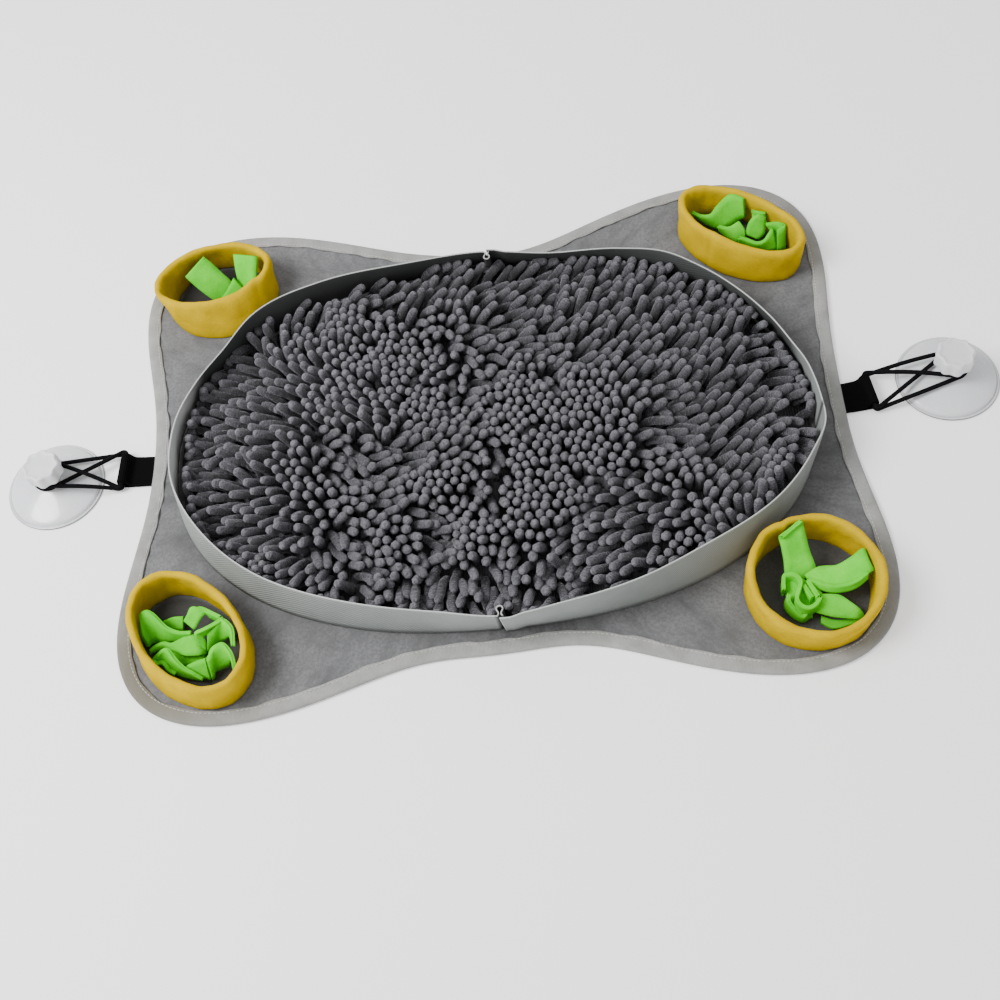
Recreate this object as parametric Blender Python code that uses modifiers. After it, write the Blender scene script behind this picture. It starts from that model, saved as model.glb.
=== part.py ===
"""Snuffle mat with suction cups.

A flat cloth base with a bound edge carries a low oval wall filled with a chenille pile, four
fleece pockets that each hold tied fleece strips, and two webbing tabs.  A doubled elastic joins
each tab to a suction cup, under a lobed screw knob.  Sizes are in millimetres up to mesh_object,
which turns them into metres.  +X runs along the mat, +Z up, and the floor is z = 0.
"""

import math

import bmesh
import bpy
import numpy as np

MM = 0.001
GAP = 0.3  # between touching pieces

# Base cloth and its binding
CLOTH_THICK = 3.0
TONGUE_LOW, TONGUE_HIGH = 1.3, 2.7  # the cloth's edge, pressed thin inside the binding
BINDING_WIDTH = 10.5
BINDING_THICK = 1.0
BINDING_TOP = 4.0
EDGE_STEPS = 96
OUTLINE_TERMS = (  # order round the mat, cosine part, sine part
    (0, 255.2, 0.0),
    (1, 0.0, -2.3),
    (2, 53.7, 0.0),
    (3, 0.8, 2.1),
    (4, -42.7, 0.0),
    (5, 0.0, -1.4),
    (6, -13.3, 0.0),
    (7, 1.3, 0.9),
    (8, 6.4, 0.5),
    (10, 1.9, 0.0),
)

# Oval wall
FLOOR_OF_PIECES = CLOTH_THICK + GAP
WALL_FOOT = FLOOR_OF_PIECES + GAP  # higher, because a leaning band's outer edge dips
WALL_HALF_LENGTH = 240.0
WALL_FRONT, WALL_FRONT_POWER = 165.0, 2.3
WALL_BACK, WALL_BACK_POWER = 155.8, 2.05
WALL_TALL = 38.0
WALL_THICK = 1.2
WALL_STEP = 4.5  # degrees between sections
PER_DEGREE = 2.8  # millimetres along the wall near its seams
WALL_LEAN = (  # bearing from the middle in degrees, outward lean of the rim
    (0, -5.0),
    (7, -11.0),
    (14, -12.0),
    (22, -10.5),
    (32, -7.0),
    (40, -4.0),
    (50, -9.0),
    (66, -16.0),
    (90, -13.3),
    (117, -11.5),
    (134, -5.5),
    (149, -3.5),
    (159, -11.5),
    (168, -11.5),
    (177, -8.0),
    (187, -5.0),
    (202, -7.0),
    (220, -4.6),
    (241, -2.0),
    (255, 1.5),
    (272, 7.5),
    (286, 3.0),
    (301, -1.0),
    (318, -6.8),
    (331, -3.5),
    (343, 0.0),
    (349, 3.2),
    (354, -0.5),
)
SEAM_BEARINGS = (271.4, 86.8)  # front and back seams of the wall
SEAM_LAP = 4.0
LAP_EASE = 4.0  # the lapping band meets the wall's own line at this many laps from its end
DART_STAND_OFF = 3.6
SEAM_DART = (  # along the wall, inward: the small loop that stands inside each seam
    (-1.9, 0.1),
    (-1.1, 1.0),
    (-0.95, 2.3),
    (-1.5, 3.6),
    (-2.15, 4.8),
    (-2.1, 6.0),
    (-1.25, 7.0),
    (0.0, 7.4),
    (1.25, 7.0),
    (2.1, 6.0),
    (2.15, 4.8),
    (1.5, 3.6),
    (0.95, 2.3),
    (1.1, 1.0),
    (1.9, 0.1),
)

# Pile
PILE_TOP = 24.0
PILE_LEVELS = (FLOOR_OF_PIECES, 11.0, 18.0)  # up the slab's side
PILE_CLEAR = 7.0  # from the wall's middle line to the slab, which leaves room for the locks
PILE_SEAM_CLEAR, PILE_SEAM_REACH = 9.0, 14.0
PILE_RINGS = (0.96, 0.89, 0.81, 0.73, 0.64, 0.55, 0.46, 0.37, 0.28, 0.19, 0.1)
PILE_STEPS = 80
PILE_DROP, PILE_LEVEL_SHARE = 4.5, 0.6  # the rim lies so much lower than the level middle
PILE_LUMP = 2.2
LUMP_LONG, LUMP_ACROSS = 53.0, 47.0  # wavelengths of the lumps
LOCK_LENGTH = 6.5
LOCK_TAPER = 0.55
LOCK_RISE = 1.15

# Fleece pockets
POCKET_RIM = 33.0
POCKET_STEPS = 36
POCKET_FORM = (  # outward, share of the height: the folded band's section
    (-2.3, 0.0),
    (2.3, 0.0),
    (2.7, 0.45),
    (2.2, 0.86),
    (0.9, 0.98),
    (-0.9, 0.98),
    (-2.2, 0.86),
    (-2.5, 0.45),
)
POCKETS = {  # foot then rim: middle x, y, half-length, half-width, turn in degrees
    "back_left": ((-211, 152, 42, 37, 0), (-215, 157, 45.5, 28.5, 11)),
    "back_right": ((209, 150, 50, 28.5, -38), (210, 153, 51.5, 25, -38)),
    "front_left": ((-217, -157.8, 50.5, 34, -50), (-215, -156, 51.5, 32, -50)),
    "front_right": ((211, -158.8, 42.2, 41.8, 0), (212.3, -159.6, 43.5, 43, -50)),
}

# Fleece strips: each row is x, y, z of the strip's middle line, then the heading in degrees of
# its width across the strip and the rise of that width above level
STRIP_WIDE, STRIP_THICK = 19.0, 2.2
STRIP_STEP = 5.0
STRIPS = {
    "strip_back_left_a": (
        (-232, 172, 26.0, 56, 5),
        (-222, 165, 17.5, 52, 2),
        (-212, 157, 8.5, 55, 0),
        (-203, 151, 5.6, 85, 0),
        (-195, 152, 8.5, 130, 0),
        (-191, 160, 18.0, 165, 0),
        (-188, 170, 29.0, 172, 4),
    ),
    "strip_back_left_b": (
        (-199, 135, 5.4, 5, 0),
        (-200, 140, 10.0, 5, 0),
        (-202, 148, 13.6, 8, 0),
        (-203, 156, 17.0, 10, 15),
        (-203, 161, 21.0, 12, 28),
    ),
    "strip_back_right_a": (
        (178, 172, 14.0, 150, 88),
        (190, 164.5, 14.0, 150, 86),
        (198, 161, 15.5, 151, 62),
        (204, 162, 17.0, 151, 30),
        (208, 166, 21.0, 151, 6),
        (211.5, 172, 29.5, 151, -4),
    ),
    "strip_back_right_b": (
        (220.5, 168.3, 15.0, 140, 84),
        (225, 166, 15.0, 180, 86),
        (227.5, 162.5, 14.5, 250, 86),
        (224, 157.5, 14.0, 300, 88),
        (216.5, 154, 13.5, 300, 88),
        (215.5, 146.5, 13.2, 20, 86),
        (222, 141, 13.2, 60, 86),
        (230, 142.5, 13.5, 120, 88),
        (232.5, 148, 14.5, 150, 88),
    ),
    "strip_back_right_c": (
        (236, 153.5, 14.5, 100, 86),
        (240, 149, 14.0, 40, 86),
        (241.5, 142, 13.5, 10, 86),
        (240, 134.5, 13.2, 340, 86),
    ),
    "strip_front_left_a": (
        (-245, -154, 13.5, 210, 86),
        (-250, -145, 14.5, 180, 80),
        (-247, -138, 15.5, 120, 78),
        (-238, -142, 15.0, 60, 84),
        (-226, -149, 14.0, 60, 88),
        (-214, -153, 13.5, 90, 88),
        (-203, -147, 14.5, 130, 88),
        (-195, -145, 15.0, 60, 84),
        (-190, -151, 14.5, 20, 84),
        (-187, -161, 14.0, 350, 84),
    ),
    "strip_front_left_b": (
        (-238, -162, 13.2, 240, 82),
        (-229, -166, 13.0, 240, 84),
        (-218, -174, 13.0, 235, 84),
        (-207, -182, 13.0, 240, 84),
        (-198, -184, 13.0, 270, 84),
        (-191, -177, 13.5, 340, 84),
        (-194, -168, 14.0, 40, 84),
        (-203, -167, 13.5, 90, 84),
        (-211, -165, 13.0, 100, 84),
    ),
    "strip_front_left_c": (
        (-220, -142, 13.5, 190, 84),
        (-218, -135, 14.0, 150, 84),
        (-210, -132, 14.0, 90, 84),
        (-204, -136, 14.0, 30, 84),
    ),
    "strip_front_right_a": (
        (203.5, -126.5, 25.0, 37, -4),
        (204, -136, 20.0, 18, -4),
        (205, -149, 10.0, 5, 0),
        (209, -160, 6.2, 20, 0),
        (217, -171, 7.5, 42, 4),
        (228, -182, 9.0, 48, 8),
    ),
    "strip_front_right_b": (
        (245, -147.5, 22.0, -80, 8),
        (238, -150, 18.5, -88, 0),
        (225, -155, 16.0, -98, 0),
        (212, -160, 14.4, -108, 0),
        (200.0, -166.5, 13.2, -140, 0),
        (196.5, -175, 9.6, -172, 0),
        (198.5, -183, 5.4, -178, 0),
    ),
}

# Tabs, elastics, suction cups and knobs, one set at each end of the mat
TAB_WIDE = 25.4
TAB_LAYER = 1.2
TAB_ROOT_IN = 8.0  # how far the tab's root reaches inside the binding
TUNNEL_HALF = 2.1  # half the tunnel's inside, which holds the two strands one above the other
TUNNEL_LOW, TUNNEL_HIGH = 1.5, 9.0
TUNNEL_CORNER = 0.9
ELASTIC_THICK = 3.3
STRAND_PITCH = 3.6
STRAND_STEP = 6.5
CORNER_BEND = 2.4
OUTER_SWING, INNER_SWING = 85, 115  # degrees round the tab's corner, for a straight or crossed run
UPPER_ARCH = 2.4
NECK_LEVELS = (15.7, 19.3)
LOWER_TURN, UPPER_TURN = (96, 299), (61, 264)  # degrees round the neck, from the tab's side
CUP_RADIUS = 37.5
CUP_STEPS = 36
NECK_RADIUS = 8.5
STEM_RADIUS = 4.2
KNOB_RADIUS, KNOB_LOBE, KNOB_LOBES = 13.4, 0.8, 8
KNOB_LOW, KNOB_HIGH = 21.4, 33.0
KNOB_STEPS = 48
KNOB_BORE_TOP = 30.4
KNOB_EDGE = 0.9
CUP_FORM = (  # radius, height: down the outside from the stem's top, then back under the dome
    (0.0, 30.0),
    (3.6, 30.0),
    (STEM_RADIUS, 29.4),
    (STEM_RADIUS, 21.1),
    (8.2, 21.1),
    (NECK_RADIUS, 20.8),
    (NECK_RADIUS, 13.9),
    (9.4, 12.4),
    (12.5, 10.8),
    (20.0, 8.6),
    (28.0, 6.0),
    (33.0, 4.2),
    (34.2, 2.6),
    (36.4, 1.9),
    (CUP_RADIUS, 1.0),
    (CUP_RADIUS, 0.0),
    (34.6, 0.0),
    (32.0, 1.5),
    (22.0, 4.6),
    (11.0, 6.6),
    (0.0, 7.4),
)
ENDS = {  # tab turn, tab's outer end x, y, cup centre x, y
    "left": dict(turn=176.0, tab_end=(-281.0, -5.2), cup=(-335.2, -11.0)),
    "right": dict(turn=6.0, tab_end=(282.0, -3.4), cup=(341.6, 4.2)),
}

PARTS = "snuffle_mat"
CUTTERS = "cutters"
FINISHES = {  # base colour, roughness
    "base_felt": ((0.25, 0.25, 0.26), 0.95),
    "edge_tape": ((0.50, 0.48, 0.45), 0.85),
    "wall_twill": ((0.33, 0.36, 0.36), 0.8),
    "chenille": ((0.15, 0.15, 0.17), 0.95),
    "yellow_fleece": ((0.83, 0.60, 0.03), 0.95),
    "green_fleece": ((0.18, 0.70, 0.08), 0.95),
    "black_webbing": ((0.01, 0.01, 0.01), 0.7),
    "cup_vinyl": ((0.75, 0.78, 0.82), 0.15),
    "knob_plastic": ((0.85, 0.85, 0.85), 0.35),
}


def clear_scene():
    for obj in list(bpy.data.objects):
        bpy.data.objects.remove(obj, do_unlink=True)


def make_collections():
    for name in (PARTS, CUTTERS):
        collection = bpy.data.collections.new(name)
        bpy.context.scene.collection.children.link(collection)
    bpy.data.collections[CUTTERS].hide_render = True


def finish(obj, slot):
    """Gives the object its own material, in the finish of that name."""
    colour, roughness = FINISHES[slot]
    made = bpy.data.materials.new(obj.name)
    made.use_nodes = True
    shader = made.node_tree.nodes["Principled BSDF"]
    shader.inputs["Base Color"].default_value = (*colour, 1.0)
    shader.inputs["Roughness"].default_value = roughness
    obj.data.materials.clear()
    obj.data.materials.append(made)


def link(obj, collection=PARTS):
    bpy.data.collections[collection].objects.link(obj)
    if collection == CUTTERS:
        obj.hide_render = True
        obj.display_type = "WIRE"
    return obj


def mesh_object(name, points, faces, collection=PARTS):
    """A mesh from points in millimetres, with its faces turned outwards."""
    mesh = bpy.data.meshes.new(name)
    mesh.from_pydata([tuple(p) for p in np.asarray(points, float) * MM], [], faces)
    shaped = bmesh.new()
    shaped.from_mesh(mesh)
    bmesh.ops.recalc_face_normals(shaped, faces=shaped.faces)
    shaped.to_mesh(mesh)
    shaped.free()
    mesh.shade_smooth()
    mesh.set_sharp_from_angle(angle=math.radians(45))
    return link(bpy.data.objects.new(name, mesh), collection)


def grid_faces(rows, columns, wrap_rows, wrap_columns):
    """Four-sided faces between neighbouring points of a grid that is numbered row by row."""
    row, column = np.meshgrid(
        np.arange(rows if wrap_rows else rows - 1),
        np.arange(columns if wrap_columns else columns - 1),
        indexing="ij",
    )
    below, beside = (row + 1) % rows, (column + 1) % columns
    corners = (row * columns + column, row * columns + beside,
               below * columns + beside, below * columns + column)
    return np.stack(corners, -1).reshape(-1, 4).tolist()


def loft(name, sections, closed_path=False):
    """A solid through like-numbered closed sections, capped at both ends unless the path closes."""
    sections = np.asarray(sections, float)
    count, around = sections.shape[:2]
    faces = grid_faces(count, around, closed_path, True)
    if not closed_path:
        faces += [list(range(around)), [(count - 1) * around + i for i in range(around)]]
    return mesh_object(name, sections.reshape(-1, 3), faces)


def as_mesh(curve_object, collection=PARTS):
    """The curve's evaluated mesh as an object of the same name, with its caps welded on."""
    bpy.context.view_layer.update()
    graph = bpy.context.evaluated_depsgraph_get()
    mesh = bpy.data.meshes.new_from_object(curve_object.evaluated_get(graph))
    shaped = bmesh.new()
    shaped.from_mesh(mesh)
    bmesh.ops.remove_doubles(shaped, verts=shaped.verts, dist=1e-6)
    bmesh.ops.recalc_face_normals(shaped, faces=shaped.faces)
    shaped.to_mesh(mesh)
    shaped.free()
    name, place = curve_object.name, curve_object.matrix_world.copy()
    bpy.data.objects.remove(curve_object, do_unlink=True)
    made = link(bpy.data.objects.new(name, mesh), collection)
    made.matrix_world = place
    return made


def plate(name, outlines, thick, collection=PARTS):
    """A flat filled outline, with any further outlines as holes, made thick about its own plane."""
    data = bpy.data.curves.new(name, "CURVE")
    data.dimensions = "2D"
    data.fill_mode = "BOTH"
    data.extrude = thick / 2 * MM
    for outline_points in outlines:
        spline = data.splines.new("POLY")
        spline.points.add(len(outline_points) - 1)
        for point, (x, y) in zip(spline.points, outline_points):
            point.co = (x * MM, y * MM, 0.0, 1.0)
        spline.use_cyclic_u = True
    return link(bpy.data.objects.new(name, data), collection)


def level_plate(name, outlines, low, high, collection=PARTS):
    """A plate between two heights, as a mesh."""
    flat = plate(name, outlines, high - low, collection)
    flat.location.z = (low + high) / 2 * MM
    return as_mesh(flat, collection)


def boolean(target, cutter, operation="DIFFERENCE"):
    step = target.modifiers.new(cutter.name, "BOOLEAN")
    step.object = cutter
    step.operation = operation
    step.solver = "EXACT"


def smooth_row(rows, bearings):
    """The second column of a closed table at these bearings, on a curve through its rows.

    Between two rows the value follows a cubic whose slopes are those between the rows' neighbours.
    """
    table = np.array(rows, float)
    at = np.concatenate([table[-2:, 0] - 360, table[:, 0], table[:2, 0] + 360])
    value = np.concatenate([table[-2:, 1], table[:, 1], table[:2, 1]])
    slope = np.gradient(value, at)
    wanted = np.asarray(bearings, float) % 360
    i = np.clip(np.searchsorted(at, wanted, "right") - 1, 0, len(at) - 2)
    span = at[i + 1] - at[i]
    u = (wanted - at[i]) / span
    return ((1 + 2 * u) * (1 - u) ** 2 * value[i] + u * (1 - u) ** 2 * span * slope[i]
            + u * u * (3 - 2 * u) * value[i + 1] - u * u * (1 - u) * span * slope[i + 1])


def smooth_line(rows, step):
    """Points about one step apart on a curve through the rows, all columns alike (Catmull-Rom)."""
    rows = np.array(rows, float)
    ends = np.vstack([2 * rows[0] - rows[1], rows, 2 * rows[-1] - rows[-2]])
    points = []
    for before, start, end, after in zip(ends, ends[1:], ends[2:], ends[3:]):
        count = max(1, round(np.linalg.norm((end - start)[:3]) / step))
        u = (np.arange(count) / count)[:, None]
        points.append(0.5 * (2 * start + (end - before) * u
                             + (2 * before - 5 * start + 4 * end - after) * u * u
                             + (3 * start - before - 3 * end + after) * u ** 3))
    return np.vstack(points + [rows[-1:]])


def edge_outline(inset=0.0):
    """The mat's outline: a radius summed from the terms, moved inwards along its normals."""
    turn = np.linspace(0, 2 * np.pi, EDGE_STEPS, endpoint=False)
    radius = sum(c * np.cos(k * turn) + s * np.sin(k * turn) for k, c, s in OUTLINE_TERMS)
    points = np.stack([radius * np.cos(turn), radius * np.sin(turn)], -1)
    along = np.roll(points, -1, 0) - np.roll(points, 1, 0)
    inward = np.stack([-along[:, 1], along[:, 0]], -1) / np.linalg.norm(along, axis=1)[:, None]
    return points + inward * inset


def tab_root(end):
    """Where the tab crosses the mat's edge, and the unit direction from there to the cup."""
    turn = math.radians(end["turn"])
    out = np.array([math.cos(turn), math.sin(turn)])
    points = edge_outline()
    across = np.abs((points - end["tab_end"]) @ np.array([-out[1], out[0]]))
    near = (points @ out) > 0
    edge = points[near][np.argmin(across[near])]
    reach = (np.array(end["tab_end"]) - edge) @ out
    return np.array(end["tab_end"]) - reach * out, out


def base_cloth():
    """One flat panel, with a thin tongue all round that the binding folds over."""
    panel = level_plate("base_cloth", [edge_outline(BINDING_WIDTH + GAP)], 0.0, CLOTH_THICK)
    tongue = level_plate("base_tongue", [edge_outline(BINDING_THICK + GAP)],
                         TONGUE_LOW, TONGUE_HIGH, CUTTERS)
    boolean(panel, tongue, "UNION")
    for side, end in ENDS.items():
        boolean(panel, tab_cutter("tongue_notch_" + side, end, TAB_ROOT_IN + GAP, GAP))
    finish(panel, "base_felt")


def edge_binding():
    """A tape folded over the whole edge: a U section carried round it, slit where a tab enters."""
    inner_low, inner_high = BINDING_THICK, BINDING_TOP - BINDING_THICK
    section = ((0.0, 0.0), (BINDING_WIDTH, 0.0), (BINDING_WIDTH, inner_low),
               (BINDING_THICK, inner_low), (BINDING_THICK, inner_high),
               (BINDING_WIDTH, inner_high), (BINDING_WIDTH, BINDING_TOP), (0.0, BINDING_TOP))
    rings = [np.column_stack([edge_outline(inset), np.full(EDGE_STEPS, z)])
             for inset, z in section]
    tape = loft("edge_binding", np.stack(rings, 1), closed_path=True)
    for side, end in ENDS.items():
        boolean(tape, tab_cutter("tape_slit_" + side, end, TAB_ROOT_IN, GAP))
    finish(tape, "edge_tape")


def tab_cutter(name, end, inset, side_gap):
    """A box round the tab's pressed end, from so far inside the edge to well outside it."""
    root, out = tab_root(end)
    across = np.array([-out[1], out[0]]) * (TAB_WIDE / 2 + side_gap)
    inner, outer = root - out * inset, root + out * TAB_ROOT_IN
    corners = [inner - across, outer - across, outer + across, inner + across]
    return level_plate(name, [corners], BINDING_THICK - 0.1, BINDING_TOP - BINDING_THICK + 0.1,
                       CUTTERS)


def wall_line(bearings):
    """Foot, rim and outward direction of the wall at these bearings from the middle.

    The foot is a superellipse with unlike front and back halves.  The rim is the foot moved out
    by the lean, and as high as leaves the cloth its full width.
    """
    turn = np.radians(bearings)
    front = np.sin(turn) < 0
    power = np.where(front, WALL_FRONT_POWER, WALL_BACK_POWER)
    width = np.where(front, WALL_FRONT, WALL_BACK)
    length_share, width_share = np.cos(turn) / WALL_HALF_LENGTH, np.sin(turn) / width
    reach = (np.abs(length_share) ** power + np.abs(width_share) ** power) ** (-1 / power)
    foot = np.column_stack([reach * np.cos(turn), reach * np.sin(turn),
                            np.full(len(turn), WALL_FOOT)])
    out = np.column_stack([
        np.sign(length_share) * np.abs(length_share) ** (power - 1) / WALL_HALF_LENGTH,
        np.sign(width_share) * np.abs(width_share) ** (power - 1) / width])
    out /= np.linalg.norm(out, axis=1)[:, None]
    lean = smooth_row(WALL_LEAN, bearings)
    rise = np.sqrt(WALL_TALL ** 2 - lean ** 2)
    rim = foot + np.column_stack([out * lean[:, None], rise])
    return foot, rim, out


def band(name, foot, rim):
    """A cloth band between its foot and its rim, as an open sheet made thick."""
    middle = (foot + rim) / 2
    points = np.stack([foot, middle, rim])
    made = mesh_object(name, points.reshape(-1, 3), grid_faces(3, len(foot), False, False))
    thick = made.modifiers.new("cloth", "SOLIDIFY")
    thick.thickness = WALL_THICK * MM
    thick.offset = 0.0
    thick.use_even_offset = True
    finish(made, "wall_twill")


def walls():
    """Two half bands.  Each end of the left one folds into a dart, and the right one laps it."""
    front, back = SEAM_BEARINGS
    stand_off = DART_STAND_OFF / PER_DEGREE
    count = round((front - back - 2 * stand_off) / WALL_STEP)
    foot, rim, _ = wall_line(np.linspace(back + stand_off, front - stand_off, count))
    (back_foot, back_rim), (front_foot, front_rim) = dart(back), dart(front)
    band("wall_left", np.vstack([back_foot, foot, front_foot]),
         np.vstack([back_rim, rim, front_rim]))

    lap = SEAM_LAP / PER_DEGREE
    start, stop = front - lap, back + lap + 360
    bearings = np.linspace(start, stop, round((stop - start) / WALL_STEP) + 1)
    near_ends = np.array([1.0, 2.0]) * lap
    bearings = np.sort(np.concatenate([bearings, start + near_ends, stop - near_ends]))
    foot, rim, out = wall_line(bearings)
    to_end = np.minimum(bearings - start, stop - bearings) / lap
    clear = (WALL_THICK + 2 * GAP) * np.clip((LAP_EASE - to_end) / 2, 0, 1)
    outward = np.column_stack([out * clear[:, None], np.zeros(len(out))])
    band("wall_right", foot + outward, rim + outward)


def dart(bearing):
    """Foot and rim of the dart at a seam."""
    foot, rim, out = wall_line(np.array([bearing]))
    out = out[0]
    along = np.array([-out[1], out[0]])
    shift = [(*(along * beside - out * inward), 0.0) for beside, inward in SEAM_DART]
    return foot + shift, rim + shift


def pile():
    """The chenille pile: one lumpy slab inside the wall, with locks round its rim."""
    bearings = np.linspace(0, 360, PILE_STEPS, endpoint=False)
    foot, rim, out = wall_line(bearings)
    seam = sum(np.exp(-(((bearings - s) * PER_DEGREE) / PILE_SEAM_REACH) ** 2)
               for s in SEAM_BEARINGS)
    clear = (PILE_CLEAR + PILE_SEAM_CLEAR * seam)[:, None]
    points = []
    for z in PILE_LEVELS:
        share = ((z - foot[:, 2]) / (rim[:, 2] - foot[:, 2]))[:, None]
        edge = foot[:, :2] + (rim - foot)[:, :2] * share - out * clear
        points.append(np.column_stack([edge, np.full(PILE_STEPS, z)]))
    for share_in in PILE_RINGS:
        xy = edge * share_in
        points.append(np.column_stack([xy, pile_height(xy, share_in)]))
    grid = np.stack(points)
    rings = len(grid)
    faces = grid_faces(rings, PILE_STEPS, False, True)
    points = np.vstack([grid.reshape(-1, 3), [[0, 0, PILE_TOP]]])
    last, peak = (rings - 1) * PILE_STEPS, rings * PILE_STEPS
    faces += [[last + i, last + (i + 1) % PILE_STEPS, peak] for i in range(PILE_STEPS)]
    faces.append(list(range(PILE_STEPS))[::-1])
    made = mesh_object("pile", points, faces)
    raise_locks(made)
    finish(made, "chenille")


def pile_height(xy, share_in):
    """Height of the pile: level in the middle and rounded at the rim, with crossed waves of lumps."""
    along, across = 2 * np.pi * xy.T / np.array([[LUMP_LONG], [LUMP_ACROSS]])
    lumps = np.sin(along + np.sin(across / 4)) * np.sin(across + np.sin(along / 4))
    past_level = max(share_in - PILE_LEVEL_SHARE, 0.0) / (1 - PILE_LEVEL_SHARE)
    return PILE_TOP - PILE_DROP * past_level ** 2 + PILE_LUMP * lumps


def raise_locks(made):
    """Draws every other face at the slab's rim out into a tapered lock, up and along its normal."""
    shaped = bmesh.new()
    shaped.from_mesh(made.data)
    shaped.faces.ensure_lookup_table()
    rim_rows = (1, 2, 3)
    chosen = [shaped.faces[row * PILE_STEPS + i] for row in rim_rows
              for i in range(row % 2, PILE_STEPS, 2)]
    drawn = bmesh.ops.extrude_discrete_faces(shaped, faces=chosen)["faces"]
    for face in drawn:
        middle = face.calc_center_median()
        way = face.normal.copy()
        way.z = abs(way.z) + LOCK_RISE
        way.normalize()
        for vertex in face.verts:
            vertex.co = middle + (vertex.co - middle) * LOCK_TAPER + way * LOCK_LENGTH * MM
    shaped.to_mesh(made.data)
    shaped.free()


def oval(row, steps):
    """Points and outward directions of a turned ellipse."""
    x, y, half_length, half_width, turn = row
    turn = math.radians(turn)
    bearing = np.linspace(0, 2 * np.pi, steps, endpoint=False) - turn
    u, v = half_length * np.cos(bearing), half_width * np.sin(bearing)
    nu, nv = u / half_length ** 2, v / half_width ** 2
    size = np.hypot(nu, nv)
    spin = np.array([[math.cos(turn), math.sin(turn)], [-math.sin(turn), math.cos(turn)]])
    points = np.stack([u, v], -1) @ spin + (x, y)
    out = np.stack([nu / size, nv / size], -1) @ spin
    return points, out


def pockets():
    """Four standing bands of folded fleece, from an oval foot to an unlike oval rim."""
    for name, (foot_row, rim_row) in POCKETS.items():
        foot, foot_out = oval(foot_row, POCKET_STEPS)
        rim, rim_out = oval(rim_row, POCKET_STEPS)
        sections = []
        for i in range(POCKET_STEPS):
            section = []
            for across, share in POCKET_FORM:
                middle = foot[i] * (1 - share) + rim[i] * share
                out = foot_out[i] * (1 - share) + rim_out[i] * share
                x, y = middle + out / np.linalg.norm(out) * across
                z = FLOOR_OF_PIECES + (POCKET_RIM - FLOOR_OF_PIECES) * share
                section.append((x, y, z))
            sections.append(section)
        finish(loft("pocket_" + name, sections, closed_path=True), "yellow_fleece")


def strips():
    """The fleece strips: a flat section carried along each strip's line, turned as its rows say."""
    for name, rows in STRIPS.items():
        line = smooth_line(unwrapped(rows), STRIP_STEP)
        along = np.gradient(line[:, :3], axis=0)
        heading, rise = np.radians(line[:, 3]), np.radians(line[:, 4])
        wide = np.stack([np.cos(heading) * np.cos(rise), np.sin(heading) * np.cos(rise),
                         np.sin(rise)], -1)
        thick = np.cross(along, wide)
        thick /= np.linalg.norm(thick, axis=1)[:, None]
        half_wide, half_thick = wide * STRIP_WIDE / 2, thick * STRIP_THICK / 2
        middle = line[:, :3]
        sections = np.stack([middle - half_wide - half_thick, middle + half_wide - half_thick,
                             middle + half_wide + half_thick, middle - half_wide + half_thick], 1)
        finish(loft(name, sections), "green_fleece")


def unwrapped(rows):
    """The rows with their headings made to run on without a jump of a whole turn."""
    rows = np.array(rows, float)
    rows[:, 3] = np.degrees(np.unwrap(np.radians(rows[:, 3])))
    return rows


def tabs():
    """Webbing folded back on itself round a tunnel, its two ends pressed thin inside the binding."""
    for side, end in ENDS.items():
        root, out = tab_root(end)
        reach = (np.array(end["tab_end"]) - root) @ out
        near, far = reach - TUNNEL_HALF, reach + TUNNEL_HALF
        low, high, cut = TUNNEL_LOW, TUNNEL_HIGH, TUNNEL_CORNER
        under, over, beyond = low - TAB_LAYER, high + TAB_LAYER, far + TAB_LAYER
        press_low, press_high = BINDING_THICK + GAP, BINDING_TOP - BINDING_THICK - GAP
        outer = [(-TAB_ROOT_IN, press_low), (TAB_LAYER, press_low), (near - 4 * TAB_LAYER, under),
                 (far, under), (beyond - cut / 2, under + cut / 2), (beyond, under + 2 * cut),
                 (beyond, over - 2 * cut), (beyond - cut / 2, over - cut / 2), (far, over),
                 (near, over), (near - TAB_LAYER, high - cut),
                 (near - 2 * TAB_LAYER, under + 3 * TAB_LAYER),
                 (near - 4 * TAB_LAYER, under + 2.2 * TAB_LAYER), (TAB_LAYER, press_high),
                 (-TAB_ROOT_IN, press_high)]
        tunnel = [(near, low + cut), (near + cut, low), (far - cut, low), (far, low + cut),
                  (far, high - cut), (far - cut, high), (near + cut, high), (near, high - cut)]
        tab = plate("side_tab_" + side, [outer, tunnel], TAB_WIDE)
        tab.rotation_euler = (math.radians(90), 0.0, math.radians(end["turn"]))
        tab.location = (root[0] * MM, root[1] * MM, 0.0)
        finish(as_mesh(tab), "black_webbing")


def arc(centre, radius, start, stop, step, along, beside):
    """Points round a centre, in the plane of two directions, at even steps of angle."""
    count = max(2, round(abs(stop - start) / step) + 1)
    swing = np.radians(np.linspace(start, stop, count))[:, None]
    return centre + radius * (np.cos(swing) * along + np.sin(swing) * beside)


def strand(port, neck_point, neck_level, arch):
    """A nearly straight run from the tab to the neck, arched by so much at its middle."""
    count = round(np.linalg.norm(neck_point - port[:2]) / STRAND_STEP)
    share = (np.arange(1, count) / count)[:, None]
    plan = port[:2] * (1 - share) + neck_point * share
    height = port[2] * (1 - share) + neck_level * share + arch * np.sin(np.pi * share)
    return np.concatenate([plan, height], 1)


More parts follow.
